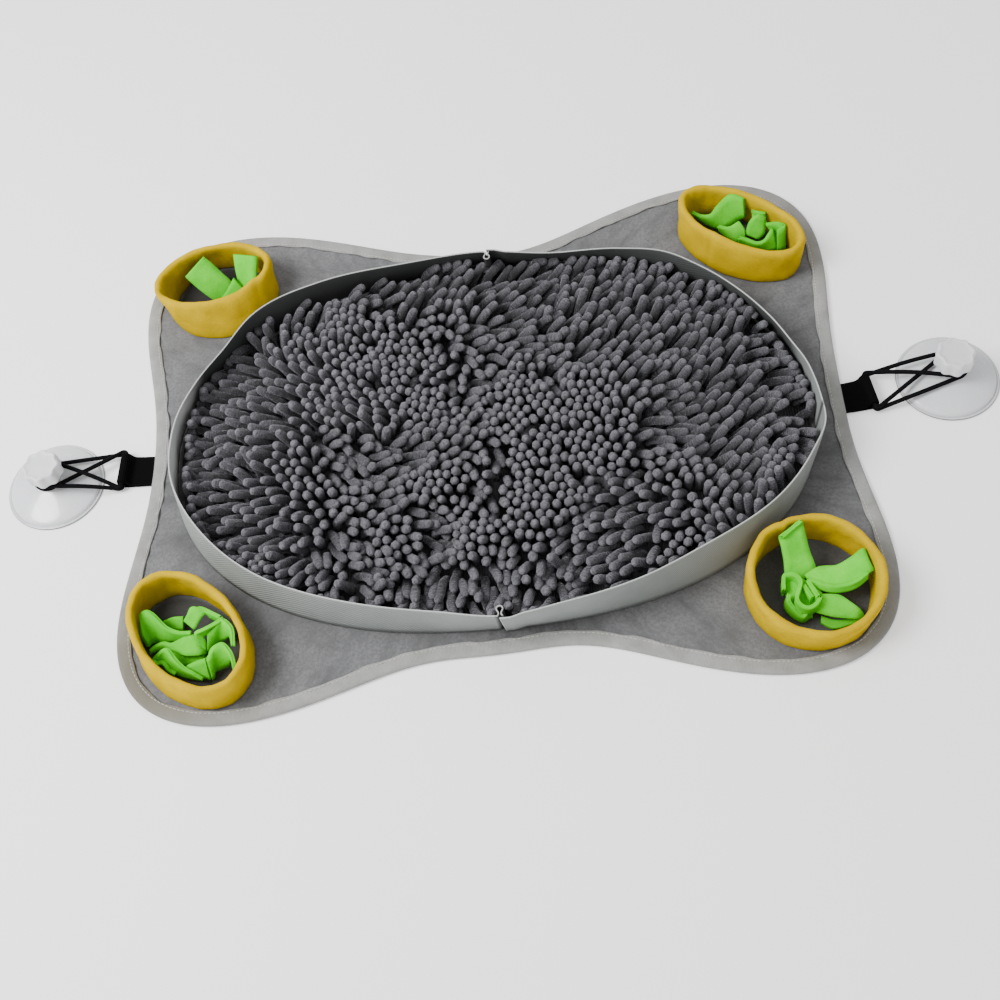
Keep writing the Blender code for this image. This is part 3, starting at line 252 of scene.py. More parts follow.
STRIPS = {  # each ribbon's rows: x, y, z of one edge, then of the other
    "strip_back_left_a": (
        ((-223, 177, 31, -238, 160, 28), (-216, 172, 26, -233, 156, 23), (-210, 167, 20, -227, 152, 17),
         (-205, 164, 14, -221, 149, 11), (-202, 160, 8, -216, 148, 6)),
        ((-198, 176, 31, -178, 171, 31), (-198, 171, 27, -179, 166, 27), (-198, 165, 19, -181, 159, 20),
         (-197, 157, 10, -184, 152, 11), (-195, 152, 6, -187, 147, 6)),
    ),
    "strip_back_left_b": (
        ((-213, 150, 9, -202, 147, 5), (-206, 155, 15, -197, 150, 8), (-200, 160, 21, -193, 154, 12)),
    ),
    "strip_back_right_a": (
        ((175, 176, 20, 179, 178, 12), (181, 173, 18, 187, 172, 8), (189, 172, 19, 194, 168, 6),
         (194, 175, 24, 199, 167, 6), (202, 180, 29, 206, 168, 8), (208, 181, 32, 212, 170, 11),
         (216, 175, 31, 217, 169, 15)),
    ),
    "strip_back_right_b": (
        ((194, 162, 16, 196, 163, 9), (201, 160, 15, 201, 158, 6), (206, 160, 18, 206, 153, 6),
         (210, 160, 21, 209, 151, 6), (213, 157, 18, 213, 152, 6), (215, 153, 14, 216, 154, 7)),
        ((215, 154, 12, 225, 151, 7), (217, 158, 18, 230, 152, 12), (220, 159, 23, 231, 157, 18),
         (223, 160, 25, 231, 159, 21), (226, 163, 24, 232, 161, 21)),
        ((221, 163, 21, 232, 158, 18), (221, 164, 24, 231, 160, 22), (220, 164, 27, 231, 161, 26)),
    ),
    "strip_back_right_c": (
        ((208, 147, 17, 209, 149, 9), (214, 145, 16, 216, 145, 6), (221, 140, 16, 223, 142, 6),
         (227, 140, 18, 229, 140, 6), (231, 144, 21, 235, 139, 6), (234, 147, 24, 238, 140, 6)),
        ((229, 149, 27, 233, 148, 20), (236, 148, 28, 237, 147, 14), (240, 147, 28, 240, 144, 7),
         (243, 146, 27, 244, 140, 6), (240, 144, 26, 241, 138, 6), (237, 143, 25, 238, 139, 6)),
    ),
    "strip_front_left_a": (
        ((-252, -150, 13, -250, -155, 6), (-254, -141, 18, -249, -155, 6),
         (-252, -136, 22, -248, -154, 6), (-247, -135, 24, -247, -153, 6),
         (-242, -138, 24, -243, -152, 6), (-237, -143, 22, -239, -153, 7),
         (-232, -148, 21, -234, -153, 7), (-224, -152, 20, -226, -153, 9),
         (-215, -153, 19, -216, -153, 14)),
        ((-239, -138, 10, -238, -141, 6), (-232, -136, 11, -231, -144, 6),
         (-224, -136, 11, -225, -145, 7)),
        ((-247, -160, 10, -248, -160, 6), (-242, -158, 13, -241, -159, 9),
         (-236, -157, 15, -234, -159, 11), (-230, -157, 14, -228, -163, 11),
         (-222, -154, 14, -221, -167, 12), (-215, -153, 16, -211, -168, 12),
         (-213, -156, 12, -207, -166, 9)),
        ((-233, -159, 5, -229, -167, 5), (-223, -163, 5, -224, -171, 5), (-213, -164, 5, -215, -170, 5),
         (-208, -164, 5, -209, -167, 5)),
    ),
    "strip_front_left_b": (
        ((-235, -165, 20, -243, -168, 14), (-230, -165, 21, -238, -169, 10),
         (-225, -172, 20, -233, -174, 8), (-219, -178, 18, -227, -178, 7),
         (-212, -182, 15, -218, -181, 6), (-207, -185, 11, -209, -183, 6)),
        ((-243, -169, 15, -246, -166, 8), (-239, -172, 15, -242, -169, 8),
         (-235, -172, 15, -237, -170, 8), (-231, -177, 14, -234, -174, 7),
         (-226, -180, 13, -228, -179, 7)),
        ((-219, -176, 14, -215, -179, 8), (-212, -174, 16, -210, -182, 7),
         (-204, -173, 18, -203, -184, 6)),
        ((-203, -174, 20, -202, -184, 6), (-200, -172, 22, -201, -183, 6),
         (-197, -168, 24, -201, -179, 6), (-191, -166, 25, -196, -177, 6),
         (-186, -171, 24, -190, -175, 7), (-184, -176, 21, -187, -174, 12),
         (-183, -184, 14, -186, -179, 9)),
    ),
    "strip_front_left_c": (
        ((-220, -145, 22, -213, -151, 18), (-217, -141, 24, -210, -147, 20),
         (-214, -137, 26, -206, -143, 23), (-208, -138, 26, -204, -141, 20),
         (-200, -142, 25, -202, -142, 16), (-193, -146, 25, -197, -144, 15)),
        ((-191, -147, 25, -193, -146, 16), (-198, -151, 25, -199, -149, 15),
         (-206, -154, 24, -204, -153, 16), (-212, -155, 21, -207, -155, 16),
         (-212, -159, 15, -206, -159, 12), (-210, -164, 8, -207, -165, 7)),
        ((-204, -154, 18, -207, -164, 6), (-198, -152, 22, -203, -160, 6),
         (-192, -148, 25, -199, -157, 7), (-186, -153, 25, -194, -156, 8),
         (-184, -158, 24, -189, -156, 12), (-184, -167, 20, -187, -163, 12)),
    ),
    "strip_front_right_a": (
        ((193, -131, 33, 208, -121, 36), (192, -130, 30, 209, -118, 33), (193, -136, 26, 210, -126, 29),
         (194, -143, 20, 212, -136, 22), (194, -149, 15, 215, -146, 17), (196, -154, 11, 216, -152, 12)),
        ((215, -167, 15, 209, -178, 11), (226, -169, 16, 220, -183, 12), (232, -174, 16, 228, -185, 12),
         (237, -179, 15, 234, -186, 12), (240, -182, 11, 238, -185, 9), (239, -183, 7, 237, -187, 6),
         (234, -183, 6, 233, -187, 5), (223, -183, 5, 221, -189, 5), (214, -179, 5, 213, -184, 5)),
    ),
    "strip_front_right_b": (
        ((243, -145, 20, 246, -158, 17), (249, -143, 23, 252, -156, 20), (246, -142, 27, 248, -159, 24),
         (238, -146, 24, 240, -164, 22), (228, -150, 22, 232, -165, 20), (220, -149, 20, 222, -165, 19),
         (214, -150, 20, 215, -163, 19), (206, -154, 19, 208, -160, 18)),
        ((246, -159, 26, 246, -161, 20), (239, -163, 24, 239, -165, 18), (232, -165, 23, 232, -167, 17),
         (224, -165, 22, 224, -167, 16), (217, -163, 22, 217, -165, 16), (212, -160, 22, 212, -162, 16),
         (207, -158, 22, 207, -160, 16)),
        ((194, -152, 17, 193, -160, 9), (199, -152, 18, 194, -168, 8), (204, -155, 18, 198, -176, 8),
         (209, -159, 17, 203, -180, 8), (213, -163, 16, 206, -176, 9), (216, -166, 15, 211, -176, 9)),
        ((191, -163, 18, 191, -163, 9), (192, -155, 22, 192, -156, 13), (194, -154, 23, 194, -155, 14),
         (199, -155, 24, 199, -156, 15), (202, -160, 24, 202, -161, 15), (200, -166, 23, 200, -167, 14),
         (198, -171, 22, 198, -172, 13), (200, -176, 21, 200, -177, 12), (205, -178, 20, 205, -179, 11),
         (210, -176, 20, 210, -177, 11), (214, -171, 20, 214, -172, 11)),
        ((194, -166, 19, 192, -168, 6), (193, -171, 17, 192, -173, 6), (197, -177, 15, 196, -179, 6),
         (201, -181, 13, 201, -182, 6), (204, -178, 14, 205, -180, 6), (207, -177, 15, 208, -179, 6)),
        ((207, -159, 22, 207, -160, 14), (210, -167, 22, 210, -168, 14), (212, -171, 21, 212, -172, 13)),
        ((204, -162, 22, 204, -163, 14), (206, -167, 21, 206, -168, 14), (208, -171, 20, 208, -172, 13)),
    ),
}

# Tabs, elastics, suction cups and knobs, one set at each end of the mat
TAB_WIDE, TAB_LAYER, TAB_ROOT_IN, TAB_STEP = 25.4, 1.2, 8.0, 0.8
TAB_FORM = (  # share of half the width, share of half the thickness: round the webbing's section
    (-1, 0), (-1, -0.6), (-0.97, -1), (-0.5, -1), (0, -1), (0.5, -1), (0.97, -1), (1, -0.6),
    (1, 0.6), (0.97, 1), (0.5, 1), (0, 1), (-0.5, 1), (-0.97, 1),
)
TUNNEL_HALF, TUNNEL_LOW, TUNNEL_HIGH = 2.1, 1.5, 9.0
ELASTIC_THICK = 3.3
STRAND_PITCH = 3.6
STRAND_STEP = 6.5
CORNER_BEND = 2.4  # radius of the strand's middle at the tab's corner
OUTER_SWING, INNER_SWING = 85, 115  # degrees round the tab's corner, for a straight or crossed run
UPPER_ARCH = 2.4  # how far the upper strands arch above a straight line
NECK_LEVELS = (15.7, 19.3)
LOWER_TURN, UPPER_TURN = (96, 299), (61, 264)  # degrees round the neck, from the tab's side
ELASTIC_SIDES, ELASTIC_STEP = 12, 0.9
CORNER_TURN, NECK_TURN = 30, 20  # degrees between the loop's points, round a corner and the neck
NECK_RADIUS, STEM_RADIUS, CUP_RADIUS = 8.5, 4.2, 37.5
CUP_STEPS = 128
CUP_FORM = (  # radius, height: up the outside from the lip's underside to the stem's top
    (34.6, 0.0), (36.3, 0.0), (37.2, 0.15), (CUP_RADIUS, 0.55), (37.3, 1.0), (36.9, 1.25), (36.2, 1.3),
    (35.7, 1.15), (35.3, 1.1), (34.9, 1.5), (34.7, 2.2), (34.5, 2.9), (34.1, 3.4), (33.3, 3.85),
    (32.0, 4.5), (30.0, 5.35), (27.0, 6.35), (23.5, 7.55), (20.0, 8.6), (16.0, 9.75), (12.5, 10.8),
    (10.4, 11.7), (9.1, 12.8), (8.6, 13.9), (NECK_RADIUS, 15.0), (NECK_RADIUS, 19.8), (8.3, 20.7),
    (7.6, 21.1), (4.6, 21.1), (STEM_RADIUS, 21.5), (STEM_RADIUS, 29.2), (3.6, 30.0), (1.0, 30.0),
)
CUP_UNDER = (  # radius, height: back under the dome from the lip to the middle
    (32.0, 1.5), (22.0, 4.6), (11.0, 6.6), (3.0, 7.3),
)
LIP_PAINTED_SHADE_RINGS = ((CUP_RADIUS, 0.5, 1.0), (35.5, 0.3, 0.55))  # radius, reach, depth of the painted shade rings at the lip
KNOB_RADIUS, KNOB_LOBE, KNOB_LOBES = 13.4, 0.8, 8
KNOB_STEPS = 192
KNOB_FORM = (  # share of the radius, height, share of the lobes: up the outside, then over the top
    (0.955, 21.4, 0.8), (0.985, 21.6, 1.0), (1.0, 22.2, 1.0), (1.0, 24.0, 1.0), (1.0, 27.0, 1.0),
    (1.0, 29.5, 1.0), (0.995, 31.2, 1.0), (0.975, 32.1, 1.0), (0.94, 32.7, 1.0), (0.9, 32.95, 0.95),
    (0.86, 33.0, 0.85), (0.82, 32.85, 0.8), (0.78, 32.6, 0.7), (0.6, 32.5, 0.5), (0.3, 32.5, 0.2),
)
KNOB_UNDER = ((0.6, 21.4), (0.36, 21.4), (0.345, 21.8), (0.345, 30.2))
ENDS = {  # tab turn, tab's outer end x, y, cup centre x, y
    "left": dict(turn=176.0, tab_end=(-281.0, -5.2), cup=(-335.2, -11.0)),
    "right": dict(turn=6.0, tab_end=(282.0, -3.4), cup=(341.6, 4.2)),
}

# Stage, in metres apart from the floor
FLOOR_RADII, FLOOR_LEVEL, FLOOR_STEPS = (300.0, 40000.0), -0.2, 64
LAMPS = {"key": ((-1.0, -0.15, 1.25), 0.8), "fill": ((0.9, -0.2, 1.1), 1.4)}  # place, width
SKY_SIDE = (-0.65, -0.05, 0.65)  # the side that the sky's light is brighter towards
SENSOR_WIDE, CLIP = 36.0, (0.01, 100.0)


# ---- meshes


def shell(name, grid, wrap_rows=False, wrap_columns=True, start=None, end=None, **marks):
    """One mesh from like grids of points in millimetres, of shape (copies, rows, columns, 3).

    Neighbouring rows and columns are joined by four-sided faces, and a start or end pole closes
    that end of each copy with triangles.  If the first copy's volume comes out negative, all
    faces are turned round.  The UV map holds metres round and along the first copy.  marks are
    attributes of the points, one number for each, or what broadcasts to the grid.
    """
    grid = np.asarray(grid, float)
    grid = grid[None] if grid.ndim == 3 else grid
    copies, rows, columns = grid.shape[:3]
    poles = [np.broadcast_to(p, (copies, 3))[:, None] for p in (start, end) if p is not None]
    points = np.concatenate([grid.reshape(copies, rows * columns, 3), *poles], 1)
    stride = points.shape[1]

    row = np.arange(rows if wrap_rows else rows - 1)[:, None, None]
    column = np.arange(columns if wrap_columns else columns - 1)[None, :, None]
    down, over = np.array([0, 0, 1, 1]), np.array([0, 1, 1, 0])
    r, c = row + down, column + over
    quads = ((r % rows) * columns + c % columns).reshape(-1, 4)
    quad_uv = (r * (columns + 1) + c).reshape(-1, 4)
    tris, tri_uv = [], []
    around = column.ravel()
    for pole, at_end in ((start, False), (end, True)):
        if pole is None:
            continue
        centre = np.full(len(around), rows * columns + (at_end and start is not None))
        edge = (rows - 1 if at_end else 0) * columns
        a, b = edge + around, edge + (around + 1) % columns
        tris.append(np.stack([a, b, centre] if at_end else [b, a, centre], -1))
        u = (rows - 1 if at_end else 0) * (columns + 1)
        corner = [u + around, u + around + 1, u + around]
        tri_uv.append(np.stack(corner if at_end else [corner[1], corner[0], corner[2]], -1))
    tris = np.concatenate(tris) if tris else np.zeros((0, 3), int)
    tri_uv = np.concatenate(tri_uv) if tri_uv else np.zeros((0, 3), int)

    first = points[0]
    fans = np.concatenate([quads[:, [0, 1, 2]], quads[:, [0, 2, 3]], tris])
    a, b, c = first[fans[:, 0]], first[fans[:, 1]], first[fans[:, 2]]
    if (a * np.cross(b, c)).sum() < 0:
        quads, quad_uv = quads[:, ::-1], quad_uv[:, ::-1]
        tris, tri_uv = tris[:, ::-1], tri_uv[:, ::-1]

    offset = (np.arange(copies) * stride)[:, None, None]
    loops = np.concatenate([(quads[None] + offset).ravel(), (tris[None] + offset).ravel()])
    sizes = np.concatenate([np.full(copies * len(quads), 4), np.full(copies * len(tris), 3)])
    starts = np.concatenate([[0], np.cumsum(sizes)[:-1]])
    mesh = bpy.data.meshes.new(name)
    mesh.vertices.add(copies * stride)
    mesh.vertices.foreach_set("co", (points * MM).astype(np.float32).ravel())
    mesh.loops.add(len(loops))
    mesh.loops.foreach_set("vertex_index", loops.astype(np.int32))
    mesh.polygons.add(len(sizes))
    mesh.polygons.foreach_set("loop_start", starts.astype(np.int32))
    mesh.update(calc_edges=True)
    mesh.shade_smooth()

    uv = np.stack(np.meshgrid(run_along(grid[0].mean(0) if wrap_rows else grid[0][rows // 2],
                                        wrap_columns),
                              run_along(grid[0][:, 0], wrap_rows)), -1).reshape(-1, 2)
    corners = np.concatenate([np.tile(quad_uv.ravel(), copies), np.tile(tri_uv.ravel(), copies)])
    layer = mesh.uv_layers.new(name="UVMap")
    layer.uv.foreach_set("vector", (uv[corners] * MM).astype(np.float32).ravel())
    for mark, value in marks.items():
        whole = np.zeros((copies, stride), np.float32)
        whole[:, :rows * columns] = np.broadcast_to(value, (copies, rows, columns)).reshape(copies, -1)
        whole[:, rows * columns:] = whole[:, rows * columns - 1:rows * columns]
        mesh.attributes.new(mark, "FLOAT", "POINT").data.foreach_set("value", whole.ravel())
    made = bpy.data.objects.new(name, mesh)
    bpy.context.scene.collection.objects.link(made)
    return made


def run_along(line, closed):
    """Distance run along a line of points, with one value past the last point."""
    ends = np.vstack([line, line[:1] if closed else 2 * line[-1:] - line[-2:-1]])
    return np.concatenate([[0], np.cumsum(np.linalg.norm(np.diff(ends, axis=0), axis=1))])


def unit(vectors):
    """Vectors divided by their own lengths."""
    return vectors / np.linalg.norm(vectors, axis=-1, keepdims=True)


def full_turn(steps):
    """Angles of a whole turn in even steps, without the last that would repeat the first."""
    return np.linspace(0, 2 * np.pi, steps, endpoint=False)


def at_height(plan, height):
    """Points on the map, all lifted to one height."""
    return np.column_stack([plan, np.full(len(plan), height)])


def lathe(centre, radius, height):
    """Rings round an upright axis: rows of radii, one for each step of the turn, at their heights."""
    turn = full_turn(radius.shape[1])
    return np.stack([centre[0] + radius * np.cos(turn), centre[1] + radius * np.sin(turn),
                     np.broadcast_to(height, radius.shape)], -1)


def curve_between(before, start, end, after, u):
    """The Catmull-Rom cubic from start to end, at u from 0 to 1, steered by the points beyond."""
    return 0.5 * (2 * start + (end - before) * u + (2 * before - 5 * start + 4 * end - after) * u * u
                  + (3 * start - before - 3 * end + after) * u ** 3)


def smooth_line(rows, step, closed=False):
    """Points about one step apart on a Catmull-Rom curve through the rows, all columns alike."""
    rows = np.array(rows, float)
    if closed:
        ends = np.vstack([rows[-1:], rows, rows[:2]])
    else:
        ends = np.vstack([2 * rows[0] - rows[1], rows, 2 * rows[-1] - rows[-2]])
    points = []
    for before, start, end, after in zip(ends, ends[1:], ends[2:], ends[3:]):
        count = max(1, round(np.linalg.norm(end - start) / step))
        u = (np.arange(count) / count)[:, None]
        points.append(curve_between(before, start, end, after, u))
    return np.vstack(points if closed else points + [rows[-1:]])


def smooth_row(rows, bearings):
    """The second column of a closed table at these bearings, on a cubic through its rows."""
    table = np.array(rows, float)
    at = np.concatenate([table[-2:, 0] - 360, table[:, 0], table[:2, 0] + 360])
    value = np.concatenate([table[-2:, 1], table[:, 1], table[:2, 1]])
    slope = np.gradient(value, at)
    wanted = np.asarray(bearings, float) % 360
    i = np.clip(np.searchsorted(at, wanted, "right") - 1, 0, len(at) - 2)
    span = at[i + 1] - at[i]
    u = (wanted - at[i]) / span
    return ((1 + 2 * u) * (1 - u) ** 2 * value[i] + u * (1 - u) ** 2 * span * slope[i]
            + u * u * (3 - 2 * u) * value[i + 1] - u * u * (1 - u) * span * slope[i + 1])


def closed_tube(name, path, radius, sides):
    """A round tube without ends: a circle carried round a path that stays well off the vertical.

    The circle is the radius times the level side direction's cosine and the upper one's sine.
    """
    ahead = unit(np.roll(path, -1, 0) - np.roll(path, 1, 0))
    side = unit(np.cross(ahead, UP))
    above = np.cross(side, ahead)
    turn = full_turn(sides)[:, None]
    ring = side[:, None] * np.cos(turn) + above[:, None] * np.sin(turn)
    return shell(name, path[:, None] + ring * radius, wrap_rows=True)


def stitches(name, places, along, up, long, thick):
    """Short threads: at each place, a six-sided profile turned about a line along the seam."""
    along, up = unit(along), unit(up)
    side = np.cross(up, along)
    lengthwise, width = np.array(STITCH_FORM).T * ((long,), (thick / 2,))
    turn = full_turn(6)[:, None]
    ring = side[:, None] * np.cos(turn) + up[:, None] * np.sin(turn)
    middle = places[:, None, :] + along[:, None, :] * lengthwise[:, None]
    grid = middle[:, :, None] + ring[:, None] * width[:, None, None]
    return shell(name, grid, start=middle[:, 0], end=middle[:, -1])


# ---- finishes


class Finish:
    """A material with one Principled shader, whose nodes are added one at a time."""

    def __init__(self, name, colour, roughness, **sockets):
        self.material = bpy.data.materials.new(name)
        self.material.use_nodes = True
        self.tree = self.material.node_tree
        self.shader = self.tree.nodes["Principled BSDF"]
        self.colour = np.array(colour[:3])
        self.shader.inputs["Base Color"].default_value = (*colour[:3], 1)
        self.shader.inputs["Roughness"].default_value = roughness
        for socket, value in sockets.items():
            self.shader.inputs[socket.replace("_", " ")].default_value = value

    def node(self, kind, inputs, output=0, **settings):
        """A new node with these inputs, by name or number; gives the output asked for."""
        made = self.tree.nodes.new("ShaderNode" + kind)
        for setting, value in settings.items():
            setattr(made, setting, value)
        for socket, value in inputs.items():
            if isinstance(value, bpy.types.NodeSocket):
                self.tree.links.new(value, made.inputs[socket])
            else:
                made.inputs[socket].default_value = value
        return made.outputs[output]

    def place(self, kind="Object"):
        return self.node("TexCoord", {}, kind)

    def turned(self, degrees):
        """The piece's UV map, turned by this much."""
        return self.node("Mapping", {"Vector": self.place("UV"),
                                     "Rotation": (0, 0, math.radians(degrees))})

    def noise(self, place, size, detail=2.0, roughness=0.5):
        """Cloudy values with features of about this size in metres."""
        return self.node("TexNoise", {"Vector": place, "Scale": 1 / size, "Detail": detail,
                                      "Roughness": roughness})

    def bands(self, place, period, distortion=0.0):
        """Waves along the first axis with this period in metres."""
        return self.node("TexWave", {"Vector": place, "Scale": math.pi / 10 / period,
                                     "Distortion": distortion, "Detail": 1.0}, 1)

    def mark(self, name):
        return self.node("Attribute", {}, "Fac", attribute_name=name)

    def level(self, value, low, high, to_low=0.0, to_high=1.0):
        """The value stretched from low..high to to_low..to_high."""
        return self.node("MapRange", {"Value": value, "From Min": low, "From Max": high,
                                      "To Min": to_low, "To Max": to_high})

    def sum(self, a, b, operation="ADD"):
        return self.node("Math", {0: a, 1: b}, operation=operation)

    def cloudy(self, size, detail, roughness, low, high, to_low=0.0, to_high=1.0):
        """Noise on the object's own place, stretched from low..high to to_low..to_high."""
        return self.level(self.noise(self.place(), size, detail, roughness), low, high, to_low, to_high)

    def mix(self, share, a, b):
        """A colour between two colours: the first where the share is 0, the second where it is 1."""
        def whole(colour):
            return colour if isinstance(colour, bpy.types.NodeSocket) else (*colour[:3], 1)
        return self.node("Mix", {0: share, 6: whole(a), 7: whole(b)}, 2, data_type="RGBA")

    def tones(self, share, low, high):
        """The finish's own colour times low where the share is 0, and times high where it is 1."""
        return self.mix(share, self.colour * low, self.colour * high)

    def paint(self, colour):
        self.tree.links.new(colour, self.shader.inputs["Base Color"])

    def rough(self, value):
        self.tree.links.new(value, self.shader.inputs["Roughness"])

    def raised(self, height, depth, strength=1.0, below=None):
        """Bump from a height of 0 to 1, this deep in metres."""
        inputs = {"Height": height, "Distance": depth, "Strength": strength}
        if below is not None:
            inputs["Normal"] = below
        normal = self.node("Bump", inputs)
        self.tree.links.new(normal, self.shader.inputs["Normal"])
        return normal


def felt_finish(colour):
    """Brushed suede cloth: faint clouds, darker strokes that run outwards, a short speckled nap, and
    painted shade.
    """
    felt = Finish("base_felt", colour, 0.93, Sheen_Weight=0.12)
    place = felt.place()
    outward = felt.node("VectorMath", {0: place}, operation="NORMALIZE")
    drawn = felt.node("VectorMath", {0: outward, 1: (0.4, 0.4, 0.4), 2: place},
                      operation="MULTIPLY_ADD")
    tone = felt.tones(felt.cloudy(0.04, 5, 0.65, 0.3, 0.7), 0.84, 1.34)
    # darker strokes: noise stretched along the outward direction
    strokes = felt.level(felt.noise(drawn, 0.03, 5, 0.65), 0.48, 0.7, 0.0, 0.8)
    tone = felt.mix(strokes, tone, felt.colour * 0.55)
    tone = felt.mix(felt.cloudy(0.0022, 3, 0.8, 0.42, 0.6, 0.0, 0.6), tone, felt.colour * 0.6)
    # painted shade: the shade mark darkens the felt on the pocket floors, at the wall's foot and towards
    # the right end
    felt.paint(felt.mix(felt.mark("shade"), tone, felt.colour * (0.13, 0.12, 0.1)))
    dents = felt.raised(felt.noise(place, 0.012), 0.0009, 0.6)
    felt.raised(felt.noise(place, 0.0008, 3, 0.7), 0.0003, 0.8, dents)
    return felt.material


def tape_finish(colour):
    """Woven binding tape: fine ribs across it, soiled in patches."""
    tape = Finish("edge_tape", colour, 0.82, Sheen_Weight=0.1)
    tone = tape.tones(tape.cloudy(0.018, 4, 0.65, 0.35, 0.68), (0.79, 0.79, 0.77), 1.09)
    tone = tape.mix(tape.mark("soil"), tone, tape.colour * (0.46, 0.43, 0.34))
    ribs = tape.bands(tape.turned(90), 0.0009, 0.6)
    tape.paint(tape.mix(tape.level(ribs, 0, 1, 0.0, 0.2), tone, tape.colour * 0.7))
    dents = tape.raised(tape.noise(tape.place(), 0.006), 0.0007, 0.5)
    tape.raised(tape.sum(ribs, tape.noise(tape.place(), 0.001)), 0.00022, 0.7, dents)
    return tape.material


def wall_finish(colour, lining, edge, lit):
    """Coated twill: slanting ribs outside, painted shade on the inner face with painted light at its
    left end, and a pale cut edge that is partly a painted highlight.
    """
    wall = Finish("wall_twill", colour, 0.72)
    ribs = wall.bands(wall.turned(42), 0.0019, 0.4)
    outside = wall.tones(wall.cloudy(0.03, 3, 0.6, 0.3, 0.7), 0.88, 1.08)
    tone = wall.mix(wall.level(ribs, 0.1, 0.9, 0.0, 0.55), outside, wall.colour * 0.55)
    # painted shade on the inner face, the cut edge's pale colour that is partly a painted highlight, and
    # painted light at the inner face's left end
    for mark, under in (("lining", lining), ("rim", edge), ("lit", lit)):
        tone = wall.mix(wall.mark(mark), tone, under)
    wall.paint(tone)
    wall.raised(ribs, 0.0002, 0.8, wall.raised(wall.noise(wall.place(), 0.016), 0.001, 0.4))
    return wall.material


def chenille_finish(colour):
    """Chenille noodles: small tufts in faint rings, each noodle in its own tone, with painted shade
    towards its root.
    """
    pile = Finish("chenille", colour, 0.95, Sheen_Weight=0.3, Sheen_Roughness=0.4,
                  Sheen_Tint=(0.9, 0.9, 1.0, 1))
    rings = pile.bands(pile.turned(90), 0.0021, 6.0)
    tufts = pile.noise(pile.place(), 0.0014, 3, 0.7)
    tone = pile.tones(pile.mark("shade"), 0.8, (1.2, 1.18, 1.22))
    deep = pile.level(pile.sum(pile.sum(rings, 0.14, "MULTIPLY"), tufts), 0.44, 0.66, 0.9, 0.0)
    tone = pile.mix(deep, tone, pile.colour * 0.4)
    # painted shade towards each noodle's root, from the depth mark
    pile.paint(pile.mix(pile.mark("depth"), tone, pile.colour * 0.08))
    knobs = pile.raised(pile.noise(pile.place(), 0.003, 1), 0.0016, 0.9)
    pile.raised(pile.sum(pile.sum(rings, 0.12, "MULTIPLY"), tufts), 0.0016, 1.0, knobs)
    return pile.material


def backing_finish(colour):
    """Knitted ground cloth of the pile: dark, with fine courses."""
    ground = Finish("pile_ground", np.array(colour) * 0.35, 0.95)
    courses = ground.bands(ground.place(), 0.002, 1.0)
    ground.paint(ground.tones(courses, 0.7, 1))
    ground.raised(courses, 0.0004, 0.8)
    return ground.material


def fleece_finish(name, colour, shade):
    """Anti-pill fleece: soft clouds and a fine felted pile, with painted shade low down."""
    fleece = Finish(name, colour, 1.0, Sheen_Weight=0.12, Sheen_Roughness=0.4,
                    Sheen_Tint=(*colour[:3], 1), Specular_IOR_Level=0.0)
    place = fleece.place()
    tone = fleece.mix(fleece.cloudy(0.014, 4, 0.6, 0.3, 0.72), shade, colour)
    tone = fleece.mix(fleece.cloudy(0.0013, 3, 0.7, 0.35, 0.65, 0.0, 0.35), tone, shade)
    # painted shade: the low mark darkens the fleece low down
    fleece.paint(fleece.mix(fleece.mark("low"), tone, fleece.colour * 0.35))
    dents = fleece.raised(fleece.noise(place, 0.009), 0.0012, 0.5)
    fleece.raised(fleece.noise(place, 0.0011, 3, 0.75), 0.00045, 0.9, dents)
    return fleece.material


def webbing_finish(colour):
    """Black ribbed webbing: crossed ribs along and across the band."""
    band = Finish("black_webbing", colour, 0.9, Specular_IOR_Level=0.05)
    weave = band.sum(band.bands(band.turned(0), 0.0016, 0.3),
                     band.bands(band.turned(90), 0.0012, 0.3), "MULTIPLY")
    band.paint(band.tones(weave, 0.6, 1.4))
    band.raised(weave, 0.0003, 0.9)
    return band.material


def elastic_finish(colour):
    """Braided elastic: two crossed sets of slanting yarns."""
    cord = Finish("black_elastic", colour, 0.85, Specular_IOR_Level=0.08)
    braid = cord.sum(cord.bands(cord.turned(38), 0.0011), cord.bands(cord.turned(-38), 0.0011),
                     "MAXIMUM")
    cord.paint(cord.tones(braid, 0.5, 1.4))
    cord.raised(braid, 0.0003, 0.9)
    return cord.material


def vinyl_finish(colour):
    """Milky soft vinyl: light passes a little way in, under a glossy skin with faint flow lines."""
    vinyl = Finish("cup_vinyl", colour, 0.2, Subsurface_Weight=0.15, Subsurface_Scale=0.003,
                   IOR=1.5, Coat_Weight=0.4, Coat_Roughness=0.08)
    flow = vinyl.noise(vinyl.place(), 0.02, 3, 0.6)
    tone = vinyl.tones(vinyl.level(flow, 0.3, 0.7), 0.94, 1)
    # painted shade: dark rings at the lip's outer edge and in the groove inside it
    vinyl.paint(vinyl.mix(vinyl.mark("lip"), tone, vinyl.colour * 0.08))
    vinyl.rough(vinyl.cloudy(0.008, 3, 0.5, 0.3, 0.7, 0.16, 0.3))
    vinyl.raised(flow, 0.0006, 0.35)
    return vinyl.material


def plastic_finish(colour):
    """Moulded white plastic with a fine satin grain."""
    plastic = Finish("knob_plastic", colour, 0.4, IOR=1.5, Subsurface_Weight=0.1,
                     Subsurface_Scale=0.002)
    flow = plastic.noise(plastic.place(), 0.01, 3)
    plastic.paint(plastic.tones(plastic.level(flow, 0.3, 0.7), 0.96, 1))
    plastic.rough(plastic.level(flow, 0.3, 0.7, 0.34, 0.46))
    plastic.raised(plastic.noise(plastic.place(), 0.0005), 0.00004, 0.5)
    return plastic.material


